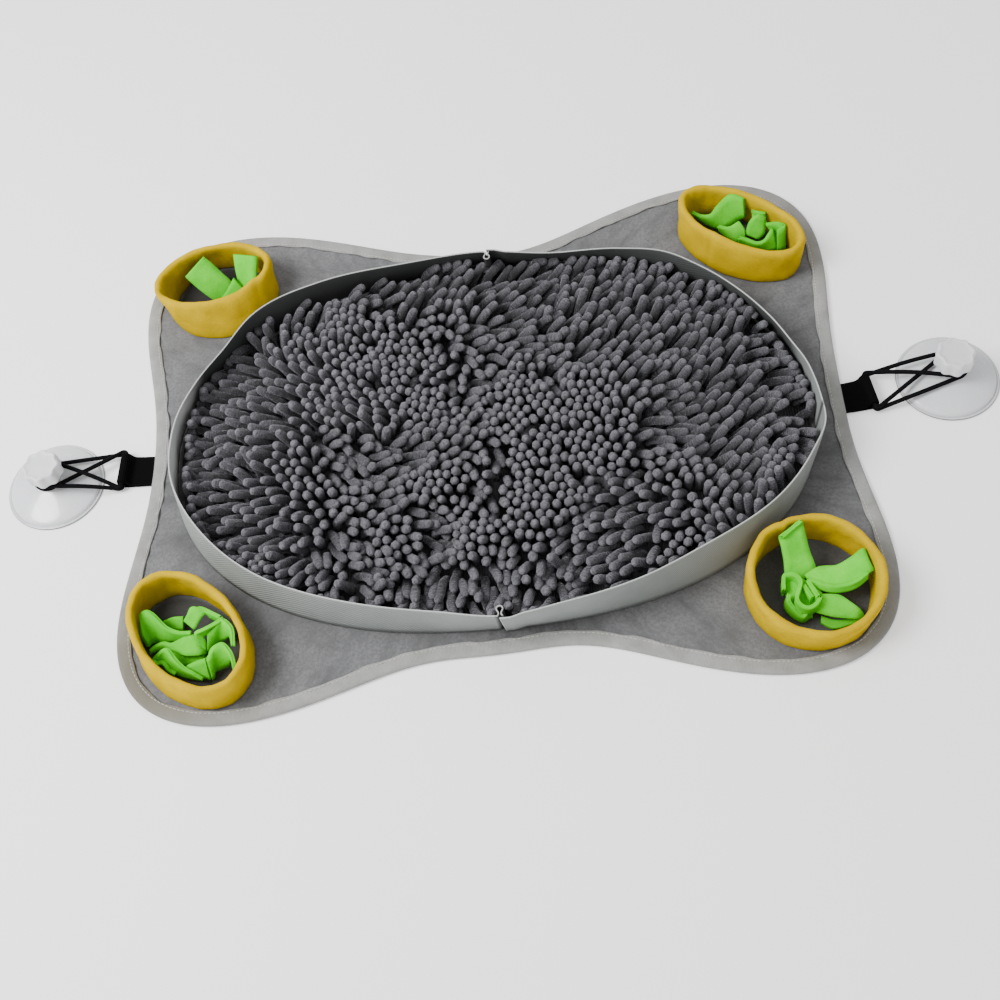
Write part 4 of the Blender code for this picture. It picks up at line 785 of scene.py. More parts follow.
def thread_finish(colour):
    """Spun sewing thread: a fine twist along each stitch."""
    thread = Finish("sewing_thread", colour, 0.7)
    twist = thread.bands(thread.turned(30), 0.0004)
    thread.paint(thread.tones(twist, 0.75, 1))
    thread.raised(twist, 0.0001, 0.8)
    return thread.material


def dress(piece, material, slot, *nodes, body=MAT):
    """Gives a piece its finish and body, and lets it stand for its solids."""
    piece.data.materials.clear()
    piece.data.materials.append(material)
    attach(piece, body)
    if nodes:
        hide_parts(*nodes)
    return piece


# ---- shapes of the mat


def edge_outline(inset=0.0):
    """The mat's outline: a radius summed from waves, moved inwards along its normals."""
    turn = full_turn(EDGE_STEPS)
    radius = sum(c * np.cos(k * turn) + s * np.sin(k * turn) for k, c, s in EDGE_WAVES)
    points = np.stack([radius * np.cos(turn), radius * np.sin(turn)], -1)
    along = np.roll(points, -1, 0) - np.roll(points, 1, 0)
    inward = unit(np.stack([-along[:, 1], along[:, 0]], -1))
    return points + inward * inset


def tab_root(end):
    """Where the tab's middle line meets the mat's edge, and the tab's own outward direction."""
    turn = math.radians(end["turn"])
    out = np.array([math.cos(turn), math.sin(turn)])
    points = edge_outline()
    across = np.abs((points - end["tab_end"]) @ np.array([-out[1], out[0]]))
    near = (points @ out) > 0
    edge = points[near][np.argmin(across[near])]
    reach = (np.array(end["tab_end"]) - edge) @ out
    return np.array(end["tab_end"]) - reach * out, out


def wall_line(bearings):
    """Foot, rim and outward direction of the wall at these bearings from the middle.

    The foot is a superellipse with unlike front and back halves.  The rim is the foot moved out
    by the lean, and as high as leaves the cloth its full width.
    """
    turn = np.radians(bearings)
    front = np.sin(turn) < 0
    power = np.where(front, WALL_FRONT_POWER, WALL_BACK_POWER)
    width = np.where(front, WALL_FRONT, WALL_BACK)
    length_share, width_share = np.cos(turn) / WALL_HALF_LENGTH, np.sin(turn) / width
    reach = (np.abs(length_share) ** power + np.abs(width_share) ** power) ** (-1 / power)
    foot = at_height(np.column_stack([reach * np.cos(turn), reach * np.sin(turn)]), WALL_FOOT)
    out = unit(np.column_stack([
        np.sign(length_share) * np.abs(length_share) ** (power - 1) / WALL_HALF_LENGTH,
        np.sign(width_share) * np.abs(width_share) ** (power - 1) / width]))
    lean = smooth_row(WALL_LEAN, bearings)
    rise = np.sqrt(WALL_TALL ** 2 - lean ** 2)
    rim = foot + np.column_stack([out * lean[:, None], rise])
    return foot, rim, out


def oval(row, steps):
    """Points and outward directions of a turned ellipse, from its bearing nought on the map."""
    x, y, half_length, half_width, turn = row
    turn = math.radians(turn)
    bearing = full_turn(steps) - turn
    u, v = half_length * np.cos(bearing), half_width * np.sin(bearing)
    out = unit(np.stack([u / half_length ** 2, v / half_width ** 2], -1))
    spin = np.array([[math.cos(turn), math.sin(turn)], [-math.sin(turn), math.cos(turn)]])
    return np.stack([u, v], -1) @ spin + (x, y), out @ spin


def oval_reach(points, row):
    """Distance from an oval's middle as a share of the oval's own, for points on the map."""
    x, y, half_length, half_width, turn = row
    turn = np.radians(turn)
    east, north = points[..., 0] - x, points[..., 1] - y
    return np.hypot((east * np.cos(turn) + north * np.sin(turn)) / half_length,
                    (north * np.cos(turn) - east * np.sin(turn)) / half_width)


# ---- pile


def flow_at(places, length):
    """Level lean direction at these places: a mean of the table's rows, weighed by nearness.

    A row's weight falls off as a bell curve.  A row says where a noodle shows, so its root is
    taken back by most of what it leans.
    """
    rows = np.array(FLOW, float)
    heading, lean = np.radians(rows[:, 2]), np.radians(rows[:, 3])
    way = np.stack([np.cos(heading), np.sin(heading)], -1) * np.sin(lean)[:, None]
    roots = rows[:, :2] - way * length * FLOW_BACK
    far = ((places[:, None] - roots[None]) ** 2).sum(-1) / (2 * FLOW_REACH ** 2)
    weight = np.exp(far.min(1, keepdims=True) - far)
    return (weight @ way) / weight.sum(1, keepdims=True)


class WallInside:
    """The wall's inner side, which keeps beads in: looked up by bearing from the middle.

    At a height, it is the foot moved by that share of the rim's lean.  More is kept clear near
    the seams' darts and at the two ends.
    """

    STEPS = 720

    def __init__(self):
        bearings = np.arange(self.STEPS) * 360 / self.STEPS
        self.foot, self.rim, self.out = wall_line(bearings)
        near = [np.minimum(abs(bearings - s), 360 - abs(bearings - s)) * PER_DEGREE
                for s in (FRONT_SEAM, BACK_SEAM)]
        self.clear = DART_CLEAR * sum(np.exp(-(d / DART_REACH) ** 2) for d in near)
        for at, reach, clear in END_CLEAR:
            off = (bearings - at + 180) % 360 - 180
            self.clear += clear * np.exp(-(off / reach) ** 2)

    def past(self, points, radius):
        """How far each point stands outside its limit, and the way out there."""
        bearing = np.degrees(np.arctan2(points[:, 1], points[:, 0])) % 360
        i = np.round(bearing * self.STEPS / 360).astype(int) % self.STEPS
        share = (points[:, 2] - self.foot[i, 2]) / (self.rim[i, 2] - self.foot[i, 2])
        lean = ((self.rim[i, :2] - self.foot[i, :2]) * self.out[i]).sum(-1) * share
        stand = ((points[:, :2] - self.foot[i, :2]) * self.out[i]).sum(-1)
        return stand - lean + radius + WALL_CLEAR + self.clear[i], self.out[i]


def root_places(pitch, wall, draws):
    """Roots on a six-way grid with a little disorder, inside the wall."""
    rows = int(2 * WALL_FRONT / (pitch * math.sqrt(0.75)))
    columns = int(2 * WALL_HALF_LENGTH / pitch)
    row, column = np.meshgrid(np.arange(-rows // 2, rows // 2),
                              np.arange(-columns // 2, columns // 2), indexing="ij")
    x = (column + 0.5 * (row % 2)) * pitch
    y = row * pitch * math.sqrt(0.75)
    places = np.stack([x.ravel(), y.ravel()], -1)
    places = places + draws.normal(0, pitch * ROOT_JITTER, places.shape)
    past, _ = wall.past(at_height(places, WALL_FOOT), 0.0)
    return places[past < WALL_CLEAR - ROOT_INSET]


def leaning(level):
    """How much these noodles lie down: 0 up to the first lean, 1 from the second, smooth between."""
    low, high = np.sin(np.radians(LIES_BETWEEN))
    share = np.clip((np.linalg.norm(level, axis=1) - low) / (high - low), 0, 1)
    return share * share * (3 - 2 * share)


def apart(points, first, second, least, share):
    """How far each point moves when pairs nearer than their least distance push each other off."""
    between = points[second] - points[first]
    distance = np.linalg.norm(between, axis=1) + 1e-6
    push = between * (np.clip(least - distance, 0, None) / distance * share)[:, None]
    return np.stack([np.bincount(second, push[:, k], len(points))
                     - np.bincount(first, push[:, k], len(points))
                     for k in range(points.shape[1])], -1)


def spread(places, spacing, wall):
    """Moves roots apart on the map until neighbours keep the mean of their own spacings."""
    for _ in range(SPREAD_PASSES):
        first, second = close_pairs(at_height(places, 0.0), spacing.max())
        least = (spacing[first] + spacing[second]) / 2
        places = places + apart(places, first, second, least, SPREAD_PUSH)
        past, out = wall.past(at_height(places, WALL_FOOT), 0.0)
        places = places - out * np.clip(past - WALL_CLEAR + ROOT_INSET, 0, None)[:, None]
    return places


def close_pairs(points, reach):
    """Pairs of points nearer than this, found by sorting them into cubes of that size."""
    cell = np.floor((points - points.min(0)) / reach).astype(np.int64) + 1
    size = cell.max(0) + 2
    key = (cell[:, 0] * size[1] + cell[:, 1]) * size[2] + cell[:, 2]
    order = np.argsort(key, kind="stable")
    ordered = key[order]
    found = []
    for dx, dy, dz in np.ndindex(3, 3, 3):
        shift = ((dx - 1) * size[1] + dy - 1) * size[2] + dz - 1
        if shift < 0:
            continue
        low = np.searchsorted(ordered, key + shift, "left")
        count = np.searchsorted(ordered, key + shift, "right") - low
        first = np.repeat(np.arange(len(key)), count)
        within = np.arange(len(first)) - np.repeat(np.cumsum(count) - count, count)
        second = order[np.repeat(low, count) + within]
        keep = first < second if shift == 0 else np.ones(len(first), bool)
        near = ((points[first] - points[second]) ** 2).sum(-1) < reach * reach
        found.append(np.stack([first, second])[:, keep & near])
    return np.concatenate(found, 1)


def settle(line, way, step, radius, wall, passes):
    """Packs the noodles: rows of beads that keep their spacing, lean their own way and push apart.

    Each pass pushes apart beads of different noodles that are too near, lets all but the roots
    sag a little, keeps them above the floor and inside the wall, pulls each bead towards where its
    noodle's bend wants it, and brings the spacing back from root to tip.
    """
    count = len(line)
    owner = np.repeat(np.arange(count), BEADS)
    radius = np.repeat(radius, BEADS)
    free = np.tile(np.arange(BEADS) > 0, count).astype(float)
    for turn in range(passes):
        flat = line.reshape(-1, 3)
        if turn % PAIRS_EVERY == 0:
            first, second = close_pairs(flat, 2 * radius.max() + PAIR_MARGIN)
            unlike = owner[first] != owner[second]
            first, second = first[unlike], second[unlike]
        move = apart(flat, first, second, radius[first] + radius[second], PACK_PUSH)
        flat = flat + move * PACK_STEP * free[:, None]
        flat[:, 2] = np.maximum(flat[:, 2] - PACK_SAG * free, PILE_FLOOR + radius / 2)
        past, out = wall.past(flat, radius)
        flat[:, :2] -= out * np.clip(past, 0, None)[:, None] * free[:, None]
        line = flat.reshape(count, BEADS, 3)
        for bead in range(1, BEADS):
            wanted = line[:, bead - 1] + way[:, bead - 1] * step[:, None]
            pulled = line[:, bead] + (wanted - line[:, bead]) * PACK_BEND
            line[:, bead] = line[:, bead - 1] + unit(pulled - line[:, bead - 1]) * step[:, None]
    return line


def between_beads(line, at):
    """Points on a Catmull-Rom curve through each row of beads, at these bead numbers."""
    ends = np.concatenate([2 * line[:, :1] - line[:, 1:2], line, 2 * line[:, -1:] - line[:, -2:-1]], 1)
    i = np.minimum(at.astype(int), BEADS - 2)
    u = (at - i)[None, :, None]
    before, start, end, after = (ends[:, i + k] for k in range(4))
    return curve_between(before, start, end, after, u)


def noodle_grids(line, radius, side, draws):
    """Rings round each noodle: even along its body, then closing over its round end.

    A ring lies across the line in the directions normal and binormal, worked out from the
    noodle's own level side direction, with its radius a little uneven from ring to ring.
    """
    at = np.linspace(0, BEADS - 1, NOODLE_RINGS)
    middle = between_beads(line, at)
    ahead = unit(np.gradient(middle, axis=1))
    uneven = 1 + draws.normal(0, RING_SPREAD, middle.shape[:2])
    width = radius[:, None] * uneven * np.interp(at, (0, BEADS - 2, BEADS - 1), BODY_WIDTHS)
    dome = np.radians(DOME)
    tip, tip_way = middle[:, -1:], ahead[:, -1:]
    rise = radius[:, None, None] * DOME_LONG * np.sin(dome)[None, :, None]
    middle = np.concatenate([middle, tip + tip_way * rise], 1)
    ahead = np.concatenate([ahead, np.repeat(tip_way, len(dome), 1)], 1)
    width = np.concatenate([width, width[:, -1:] * np.cos(dome)], 1)
    normal = unit(np.cross(side[:, None], ahead))
    binormal = np.cross(ahead, normal)
    turn = full_turn(NOODLE_SIDES)[:, None]
    ring = normal[:, :, None] * np.cos(turn) + binormal[:, :, None] * np.sin(turn)
    grid = middle[:, :, None] + ring * width[:, :, None, None]
    end = tip[:, 0] + tip_way[:, 0] * radius[:, None] * DOME_LONG
    return grid, middle[:, 0], end


# ---- settings


def length_setting(name, metres, description, **more):
    return FloatProperty(name=name, default=metres, unit="LENGTH", description=description, **more)


def colour_setting(name, colour, description):
    return FloatVectorProperty(name=name, default=colour, subtype="COLOR", size=3, min=0, max=1,
                               description=description)


class SNUFFLE_PG_cloth(bpy.types.PropertyGroup):
    """Sizes and colours of the flat cloth, its binding and the wall."""

    felt: colour_setting("Felt", (0.13, 0.131, 0.135), "Colour of the base cloth")
    tape: colour_setting("Tape", (0.288, 0.287, 0.278), "Colour of the binding tape")
    wall: colour_setting("Wall", (0.25, 0.27, 0.26), "Colour of the wall's outer face")
    # painted shade: the inner face's colour where it lies in shade
    lining: colour_setting("Lining", (0.04, 0.042, 0.042), "Colour of the wall's inner face")
    # the cut edge's pale colour, which also serves as a painted highlight along the rim
    edge: colour_setting("Cut edge", (0.46, 0.48, 0.46), "Colour of the wall's cut upper edge")
    # painted light: the inner face's colour at its left end, where light falls on it
    lit: colour_setting("Lit lining", (0.85, 0.86, 0.85), "Colour of the inner face at its left end")
    thread: colour_setting("Thread", (0.55, 0.54, 0.5), "Colour of the sewing thread")
    stitch_pitch: length_setting("Stitch pitch", 0.0032, "Distance from one stitch to the next")
    pucker: length_setting("Pucker", 0.0006, "Height of the base cloth's puckers at the binding")


class SNUFFLE_PG_pile(bpy.types.PropertyGroup):
    """Sizes and colour of the chenille pile."""

    radius: length_setting("Noodle radius", 0.0034, "Half the thickness of a noodle")
    length: length_setting("Noodle length", 0.027, "Length of a noodle from root to tip")
    pitch: length_setting("Pitch", 0.0082, "Distance between neighbouring roots")
    passes: IntProperty(name="Settling passes", default=90, min=1,
                        description="How often the noodles are pushed apart")
    seed: IntProperty(name="Seed", default=11, description="Start of the random draws")
    colour: colour_setting("Chenille", (0.158, 0.156, 0.172), "Colour of the noodles")


class SNUFFLE_PG_fleece(bpy.types.PropertyGroup):
    """Colours of the fleece pockets and strips."""

    yellow: colour_setting("Yellow", (0.60, 0.405, 0.0), "Colour of the pockets")
    yellow_shade: colour_setting("Yellow shade", (0.47, 0.31, 0.0), "Deeper yellow of the nap")
    green: colour_setting("Green", (0.155, 0.74, 0.03), "Colour of the strips")
    green_shade: colour_setting("Green shade", (0.075, 0.54, 0.015), "Deeper green of the nap")


class SNUFFLE_PG_ends(bpy.types.PropertyGroup):
    """Colours of the tabs, elastics, cups and knobs."""

    webbing: colour_setting("Webbing", (0.0025, 0.0025, 0.0025), "Colour of the tabs")
    elastic: colour_setting("Elastic", (0.0025, 0.0025, 0.003), "Colour of the elastics")
    vinyl: colour_setting("Vinyl", (0.63, 0.645, 0.665), "Colour of the cups")
    plastic: colour_setting("Plastic", (0.66, 0.66, 0.68), "Colour of the knobs")


class SNUFFLE_PG_stage(bpy.types.PropertyGroup):
    """Floor, light and camera."""

    aim: FloatVectorProperty(name="Aim", default=(0.0035, -0.0613, 0.0), subtype="XYZ",
                             unit="LENGTH", description="Point that the camera looks at")
    distance: length_setting("Distance", 0.914, "From the aim to the camera")
    azimuth: FloatProperty(name="Azimuth", default=math.radians(6.34), subtype="ANGLE",
                           description="Turn of the camera round the mat, from the front")
    elevation: FloatProperty(name="Elevation", default=math.radians(59.8), subtype="ANGLE",
                             description="Height of the camera above level, as an angle")
    roll: FloatProperty(name="Roll", default=math.radians(-11.2), subtype="ANGLE",
                        description="Turn of the camera about its own view")
    lens: FloatProperty(name="Lens", default=44.96, min=1, unit="CAMERA",
                        description="Focal length in millimetres")
    floor: colour_setting("Floor", (0.93, 0.93, 0.93), "Colour of the floor")
    glow: FloatProperty(name="Floor glow", default=0.3, min=0,
                        description="Light that the floor gives by itself")
    key: FloatProperty(name="Key light", default=38.0, min=0, description="Watts of the main light")
    fill: FloatProperty(name="Fill light", default=2.0, min=0, description="Watts of the fill light")
    sky: FloatProperty(name="Sky", default=0.72, min=0,
                       description="Strength of the light from all round")


# ---- operators


class SnuffleOperator:
    """What all the mat's operators share."""

    bl_options = {"REGISTER", "UNDO"}

    def execute(self, context):
        self.build(context.scene)
        return {"FINISHED"}


class SNUFFLE_OT_base(SnuffleOperator, bpy.types.Operator):
    """Lays the base cloth: the outline shrunk in rings, with puckers where the binding draws it in.

    Its height is the cloth's, plus pairs of multiplied sines along the edge, which fade away
    inwards, plus slow sines across the map.  Painted shade darkens it in the pockets, round the
    wall's foot and towards the wall's right end.
    """

    bl_idname = "snuffle.base"
    bl_label = "Base cloth"

    def build(self, scene):
        settings = scene.snuffle_cloth
        rim = edge_outline(TAPE_WIDTH - UNDER_TAPE)
        shares = np.concatenate([np.linspace(*rings) for rings in TOP_RINGS])
        plan = rim[None] * shares[:, None, None]
        x, y = plan[..., 0], plan[..., 1]
        inside = (1 - shares)[:, None] * np.linalg.norm(rim, axis=1)[None]
        along = run_along(rim, True)[:-1][None]
        waves = sum(high * np.sin(along / short) * np.sin(along / long + shift)
                    for high, short, long, shift in PUCKER_WAVES)
        fade = np.exp(-inside / PUCKER_REACH) * np.clip(inside / PUCKER_START, 0, 1)
        roll = 0.25 * np.sin(x / 31 + 0.4) * np.sin(y / 27) + 0.2 * np.sin((x + y) / 17)
        level = CLOTH_THICK - CLOTH_DROP
        height = level + settings.pucker / MM * waves * fade + roll * np.clip(inside / ROLL_START, 0, 1)
        top = np.dstack([plan, height])
        under = np.stack([at_height(rim * share, 0.0) for share in UNDER_RINGS])
        # painted shade on the pocket floors, round the wall's foot and towards the right end
        dark = np.max([np.clip((1 - oval_reach(plan, foot)) / POCKET_PAINTED_SHADE_EDGE, 0, POCKET_PAINTED_SHADE[name])
                       for name, (foot, _) in POCKETS.items()], 0)
        foot, _, _ = wall_line(np.degrees(np.arctan2(rim[:, 1], rim[:, 0])))
        from_wall = np.hypot(x, y) - np.linalg.norm(foot[:, :2], axis=1)
        shade = (WALL_PAINTED_SHADE * np.exp(-np.clip(from_wall, 0, None) / WALL_PAINTED_SHADE_REACH)
                 + RIGHT_PAINTED_SHADE * np.clip(x / WALL_HALF_LENGTH, 0, 1))
        shade = np.concatenate([np.zeros((2, EDGE_STEPS)), np.maximum(dark, shade)])
        panel = shell("base_panel", np.concatenate([under, top]), start=(0, 0, 0), end=(0, 0, level),
                      shade=shade)
        dress(panel, felt_finish(settings.felt), "base_felt", "base_cloth")


class SNUFFLE_OT_tape(SnuffleOperator, bpy.types.Operator):
    """Folds the binding over the edge: a U section carried round the outline, dented by stitches.

    Each point of the section follows the outline at its own inset, which breathes a little, and
    the upper face lifts by multiplied sines and dips by a cosine with one wave a stitch.
    """

    bl_idname = "snuffle.tape"
    bl_label = "Binding and stitches"

    def build(self, scene):
        settings = scene.snuffle_cloth
        form = np.array(TAPE_FORM)
        along = run_along(edge_outline(STITCH_INSET), True)
        count = round(along[-1] / (settings.stitch_pitch / MM))
        phase = 2 * np.pi * along[:-1, None] / along[-1]
        breadth = 1 + 0.06 * np.sin(phase * 67) * np.sin(phase * 11) + 0.03 * np.sin(phase * 29)
        rings = np.stack([edge_outline(inset * breadth) for inset, _ in form], 1)
        inset, height = form.T
        near = np.exp(-((inset - STITCH_INSET) / DENT_REACH) ** 2)[None]
        lift = (0.3 * np.sin(phase * 61) * np.sin(phase * 17 + inset / 4)
                + 0.25 * np.sin(phase * 137 + inset) * np.sin(phase * 9)
                - DENT_DEPTH * near * (1 + np.cos(phase * count)) / 2)
        height = height + lift * (height > TAPE_UPPER)
        soil = sum(deep * np.exp(-((rings - place) ** 2).sum(-1) / far ** 2)
                   for *place, far, deep in SOIL)
        tape = shell("binding_tape", np.dstack([rings, height]), wrap_rows=True, soil=soil)
        dress(tape, tape_finish(settings.tape), "edge_tape", "edge_binding")

        seam = edge_outline(STITCH_INSET)
        at = np.arange(count) * along[-1] / count
        closed = np.vstack([seam, seam[:1]])
        x, y = np.interp(at, along, closed[:, 0]), np.interp(at, along, closed[:, 1])
        places = at_height(np.column_stack([x, y]), TAPE_TOP - STITCH_SINK)
        ahead = np.roll(places, -1, 0) - np.roll(places, 1, 0)
        sewn = stitches("binding_stitches", places, ahead, np.tile(UP, (count, 1)),
                        settings.stitch_pitch / MM * STITCH_LONG, STITCH_THICK)
        dress(sewn, thread_finish(settings.thread), "edge_tape")


class SNUFFLE_OT_walls(SnuffleOperator, bpy.types.Operator):
    """Stands the two wall bands up: a thin section swept round the oval, with a dart at each seam.

    The left band ends in both darts, and the right one laps outside it and eases back in line.
    """

    bl_idname = "snuffle.walls"
    bl_label = "Wall bands"

    def build(self, scene):
        settings = scene.snuffle_cloth
        material = wall_finish(settings.wall, settings.lining, settings.edge, settings.lit)
        stand_off = DART_STAND_OFF / PER_DEGREE
        foot, rim, _ = wall_line(np.arange(BACK_SEAM + stand_off, FRONT_SEAM - stand_off, WALL_STEP))
        back_dart, front_dart = self.dart(BACK_SEAM), self.dart(FRONT_SEAM)
        rows = np.vstack([back_dart, np.column_stack([foot, rim]), front_dart])
        self.band("wall_left", rows, material, hidden=len(front_dart))

        lap = SEAM_LAP / PER_DEGREE
        start, stop = FRONT_SEAM - lap, BACK_SEAM + lap + 360
        bearings = np.linspace(start, stop, round((stop - start) / WALL_STEP))
        bearings = np.sort(np.concatenate([bearings, [start + END_ROW, stop - END_ROW],
                                           CREASE_SHADOW_AT + np.array(CREASE_ROWS)]))
        near, far = (bearings - start) * PER_DEGREE, (stop - bearings) * PER_DEGREE
        slant = END_SLANT / PER_DEGREE * (np.exp(-near / SLANT_REACH) - np.exp(-far / SLANT_REACH))
        foot, _, _ = wall_line(bearings + slant)
        _, rim, out = wall_line(bearings)
        clear = (WALL_THICK + 2 * GAP) * (1 - np.interp(np.minimum(near, far), LAP_EASE, (0, 1)))
        outward = np.column_stack([out * clear[:, None], np.zeros(len(out))])
        self.band("wall_right", np.column_stack([foot + outward, rim + outward]), material, cut=1)

    def dart(self, bearing):
        """Foot and rim of the dart at a seam, as one table of six columns."""
        foot, rim, out = wall_line(np.array([bearing]))
        along = np.array([-out[0][1], out[0][0]])
        shift = smooth_line([(*(along * beside - out[0] * inward), 0.0)
                             for beside, inward in SEAM_DART], DART_STEP)
        return np.column_stack([foot + shift, rim + shift])

    def band(self, name, rows, material, cut=0, hidden=0):
        """A band of cloth: up one face, over the cut edge and down the other.

        A point is the foot plus its share of the way to the rim, moved through the cloth by half
        its thickness and by slow sines that are nought at the foot and the rim.
        cut rows at each end show the pale cut edge, partly a painted highlight, and hidden ones
        take full painted shade in the seam.  Painted shade darkens the inner face at the mat's back,
        less in front and near the rim; painted light makes it palest at the left end; and a painted
        shadow darkens the crease at the right end.
        """
        foot, rim = rows[:, None, :3], rows[:, None, 3:]
        ahead = unit(np.gradient(rows[:, :3], axis=0))
        through = unit(np.cross(ahead, unit(rows[:, 3:] - rows[:, :3])))
        middle = rows[:, :2].mean(0)
        levels, flat = np.array(WALL_LEVELS), np.ones(len(WALL_LEVELS))
        over, across, pale = np.array(RIM_FORM).T
        heights = np.concatenate([levels, over, levels[::-1]])
        sides = np.concatenate([flat, across, -flat]) * (WALL_THICK / 2)
        along = run_along(rows[:, :3], False)[:-1, None]
        wave = ((0.35 * np.sin(along / 21 + 1) + 0.25 * np.sin(along / 8.3))
                * np.sin(np.pi * heights[None]))
        lift = 0.25 * np.sin(along / 13.7) * heights[None] ** 4
        grid = (foot + (rim - foot) * heights[None, :, None]
                + through[:, None] * (sides[None, :] + wave)[:, :, None])
        grid[..., 2] += lift - WALL_SINK
        # the cut edge's pale colour over the rim, partly a painted highlight
        edge = np.tile(np.concatenate([flat * 0, pale, flat * 0]), (len(rows), 1))
        inner = (np.arange(len(heights)) > len(heights) // 2).astype(float)
        if through[len(rows) // 2, :2] @ (rows[len(rows) // 2, :2] - middle) < 0:
            inner = 1 - inner
        # painted shade on the inner face: faint in front, full at the back, a little less near the rim;
        # painted light at its left end
        pale_up_to, dark_from = (np.interp(rows[:, 0], LINING_PAINTED_SHADE_X, turns) for turns in LINING_PAINTED_SHADE_TURNS)
        back = np.clip((rows[:, 1] - pale_up_to) / (dark_from - pale_up_to), 0, 1)[:, None]
        back = LINING_PAINTED_SHADE_LEAST + (1 - LINING_PAINTED_SHADE_LEAST) * back
        lit = np.interp(rows[:, :1], LIT_BETWEEN, (1.0, 0.0)) * inner * (1 - back)
        # painted shadow in the crease at the right end, which also takes the pale edge away
        bearing = np.degrees(np.arctan2(rows[:, 1], rows[:, 0]))[:, None] % 360
        crease = np.exp(-((bearing - CREASE_SHADOW_AT) / CREASE_SHADOW_REACH) ** 4)
        inner = inner * np.maximum(back * (1 - 0.15 * heights[None] ** 4), crease)
        edge = edge * (1 - crease)
        # the cut ends take the pale edge colour, partly a painted highlight
        if cut:
            edge[:cut] = edge[-cut:] = 1
        # the hidden rows in the seam take full painted shade
        if hidden:
            inner[:hidden] = inner[-hidden:] = 1
        made = shell(name + "_band", grid, start=grid[0].mean(0), end=grid[-1].mean(0), rim=edge,
                     lining=inner, lit=lit)
        dress(made, material, "wall_twill", name)


class SNUFFLE_OT_pile(SnuffleOperator, bpy.types.Operator):
    """Grows the pile: noodles rooted on a grid, combed by the flow table and packed by settle().

    A noodle starts as a line of beads, each one step on from the last at its share of the lean.
    """

    bl_idname = "snuffle.pile"
    bl_label = "Chenille pile"

    def build(self, scene):
        settings = scene.snuffle_pile
        radius, length = settings.radius / MM, settings.length / MM
        draws = np.random.default_rng(settings.seed)
        wall = WallInside()
        pitch = settings.pitch / MM
        roots = root_places(pitch, wall, draws)
        wide = 1 + LYING_SPREAD * leaning(flow_at(roots, length))
        kept = draws.random(len(roots)) < wide ** -2
        roots = spread(roots[kept], pitch * wide[kept], wall)
        count = len(roots)
        level = flow_at(roots, length)
        lies = leaning(level)
        long = length * (1 + LYING_LENGTH * lies) * (1 + draws.normal(0, LENGTH_SPREAD, count))
        level = level + draws.normal(0, 1, (count, 2)) * (UNRULY + UNRULY_LYING * lies)[:, None]
        stray = draws.random(count) < STRAY_SHARE
        level[stray] += draws.normal(0, STRAY_SPREAD, (stray.sum(), 2))
        lean = np.arcsin(np.clip(np.linalg.norm(level, axis=1), LEAN_LEAST, LEAN_MOST))
        heading = np.arctan2(level[:, 1], level[:, 0])
        forward = np.stack([np.cos(heading), np.sin(heading), np.zeros(count)], -1)
        side = np.stack([-np.sin(heading), np.cos(heading), np.zeros(count)], -1)
        bend = lean[:, None] * np.array(BEND)
        way = (forward[:, None] * np.sin(bend)[..., None] + UP * np.cos(bend)[..., None])
        step = (long - radius) / (BEADS - 1)
        start = at_height(roots, PILE_FLOOR)[:, None]
        line = np.concatenate([start, start + np.cumsum(way * step[:, None, None], 1)], 1)
        soft = radius * (SQUASH[0] + (SQUASH[1] - SQUASH[0]) * lies)
        line = settle(line, way, step, soft, wall, settings.passes)

        thick = radius * (1 + draws.normal(0, THICK_SPREAD, count))
        grid, root, tip = noodle_grids(line, thick, side, draws)
        shade = np.clip(draws.normal(SHADE_MIDDLE, SHADE_SPREAD, count), 0, 1)
        # painted shade towards each noodle's root
        to_root = 1 - np.linspace(0, 1, grid.shape[1])
        low = np.clip(to_root * ROOT_PAINTED_SHADE, 0, 1) ** ROOT_PAINTED_SHADE_POWER
        material = chenille_finish(settings.colour)
        order = np.argsort(roots[:, 0], kind="stable")
        for part, chosen in enumerate(np.array_split(order, PILE_PARTS)):
            piece = shell(f"pile_noodles_{part + 1}", grid[chosen], start=root[chosen],
                          end=tip[chosen], shade=shade[chosen, None, None],
                          depth=low[None, :, None])
            dress(piece, material, "chenille", "pile")


class SNUFFLE_OT_backing(SnuffleOperator, bpy.types.Operator):
    """Lays the pile's own backing: a thin oval cloth inside the wall, under the noodles."""

    bl_idname = "snuffle.backing"
    bl_label = "Pile backing"

    def build(self, scene):
        foot, _, out = wall_line(np.arange(0, 360, BACKING_STEP))
        rim = foot[:, :2] - out * BACKING_INSET
        low, high = PILE_FLOOR, PILE_FLOOR + BACKING_THICK
        rows = [at_height(rim * share, z)
                for share, z in ((BACKING_RING, low), (1.0, low), (1.0, high), (BACKING_RING, high))]
        made = shell("pile_backing", np.stack(rows), start=(0, 0, low), end=(0, 0, high))
        dress(made, backing_finish(scene.snuffle_pile.colour), "chenille", "pile")


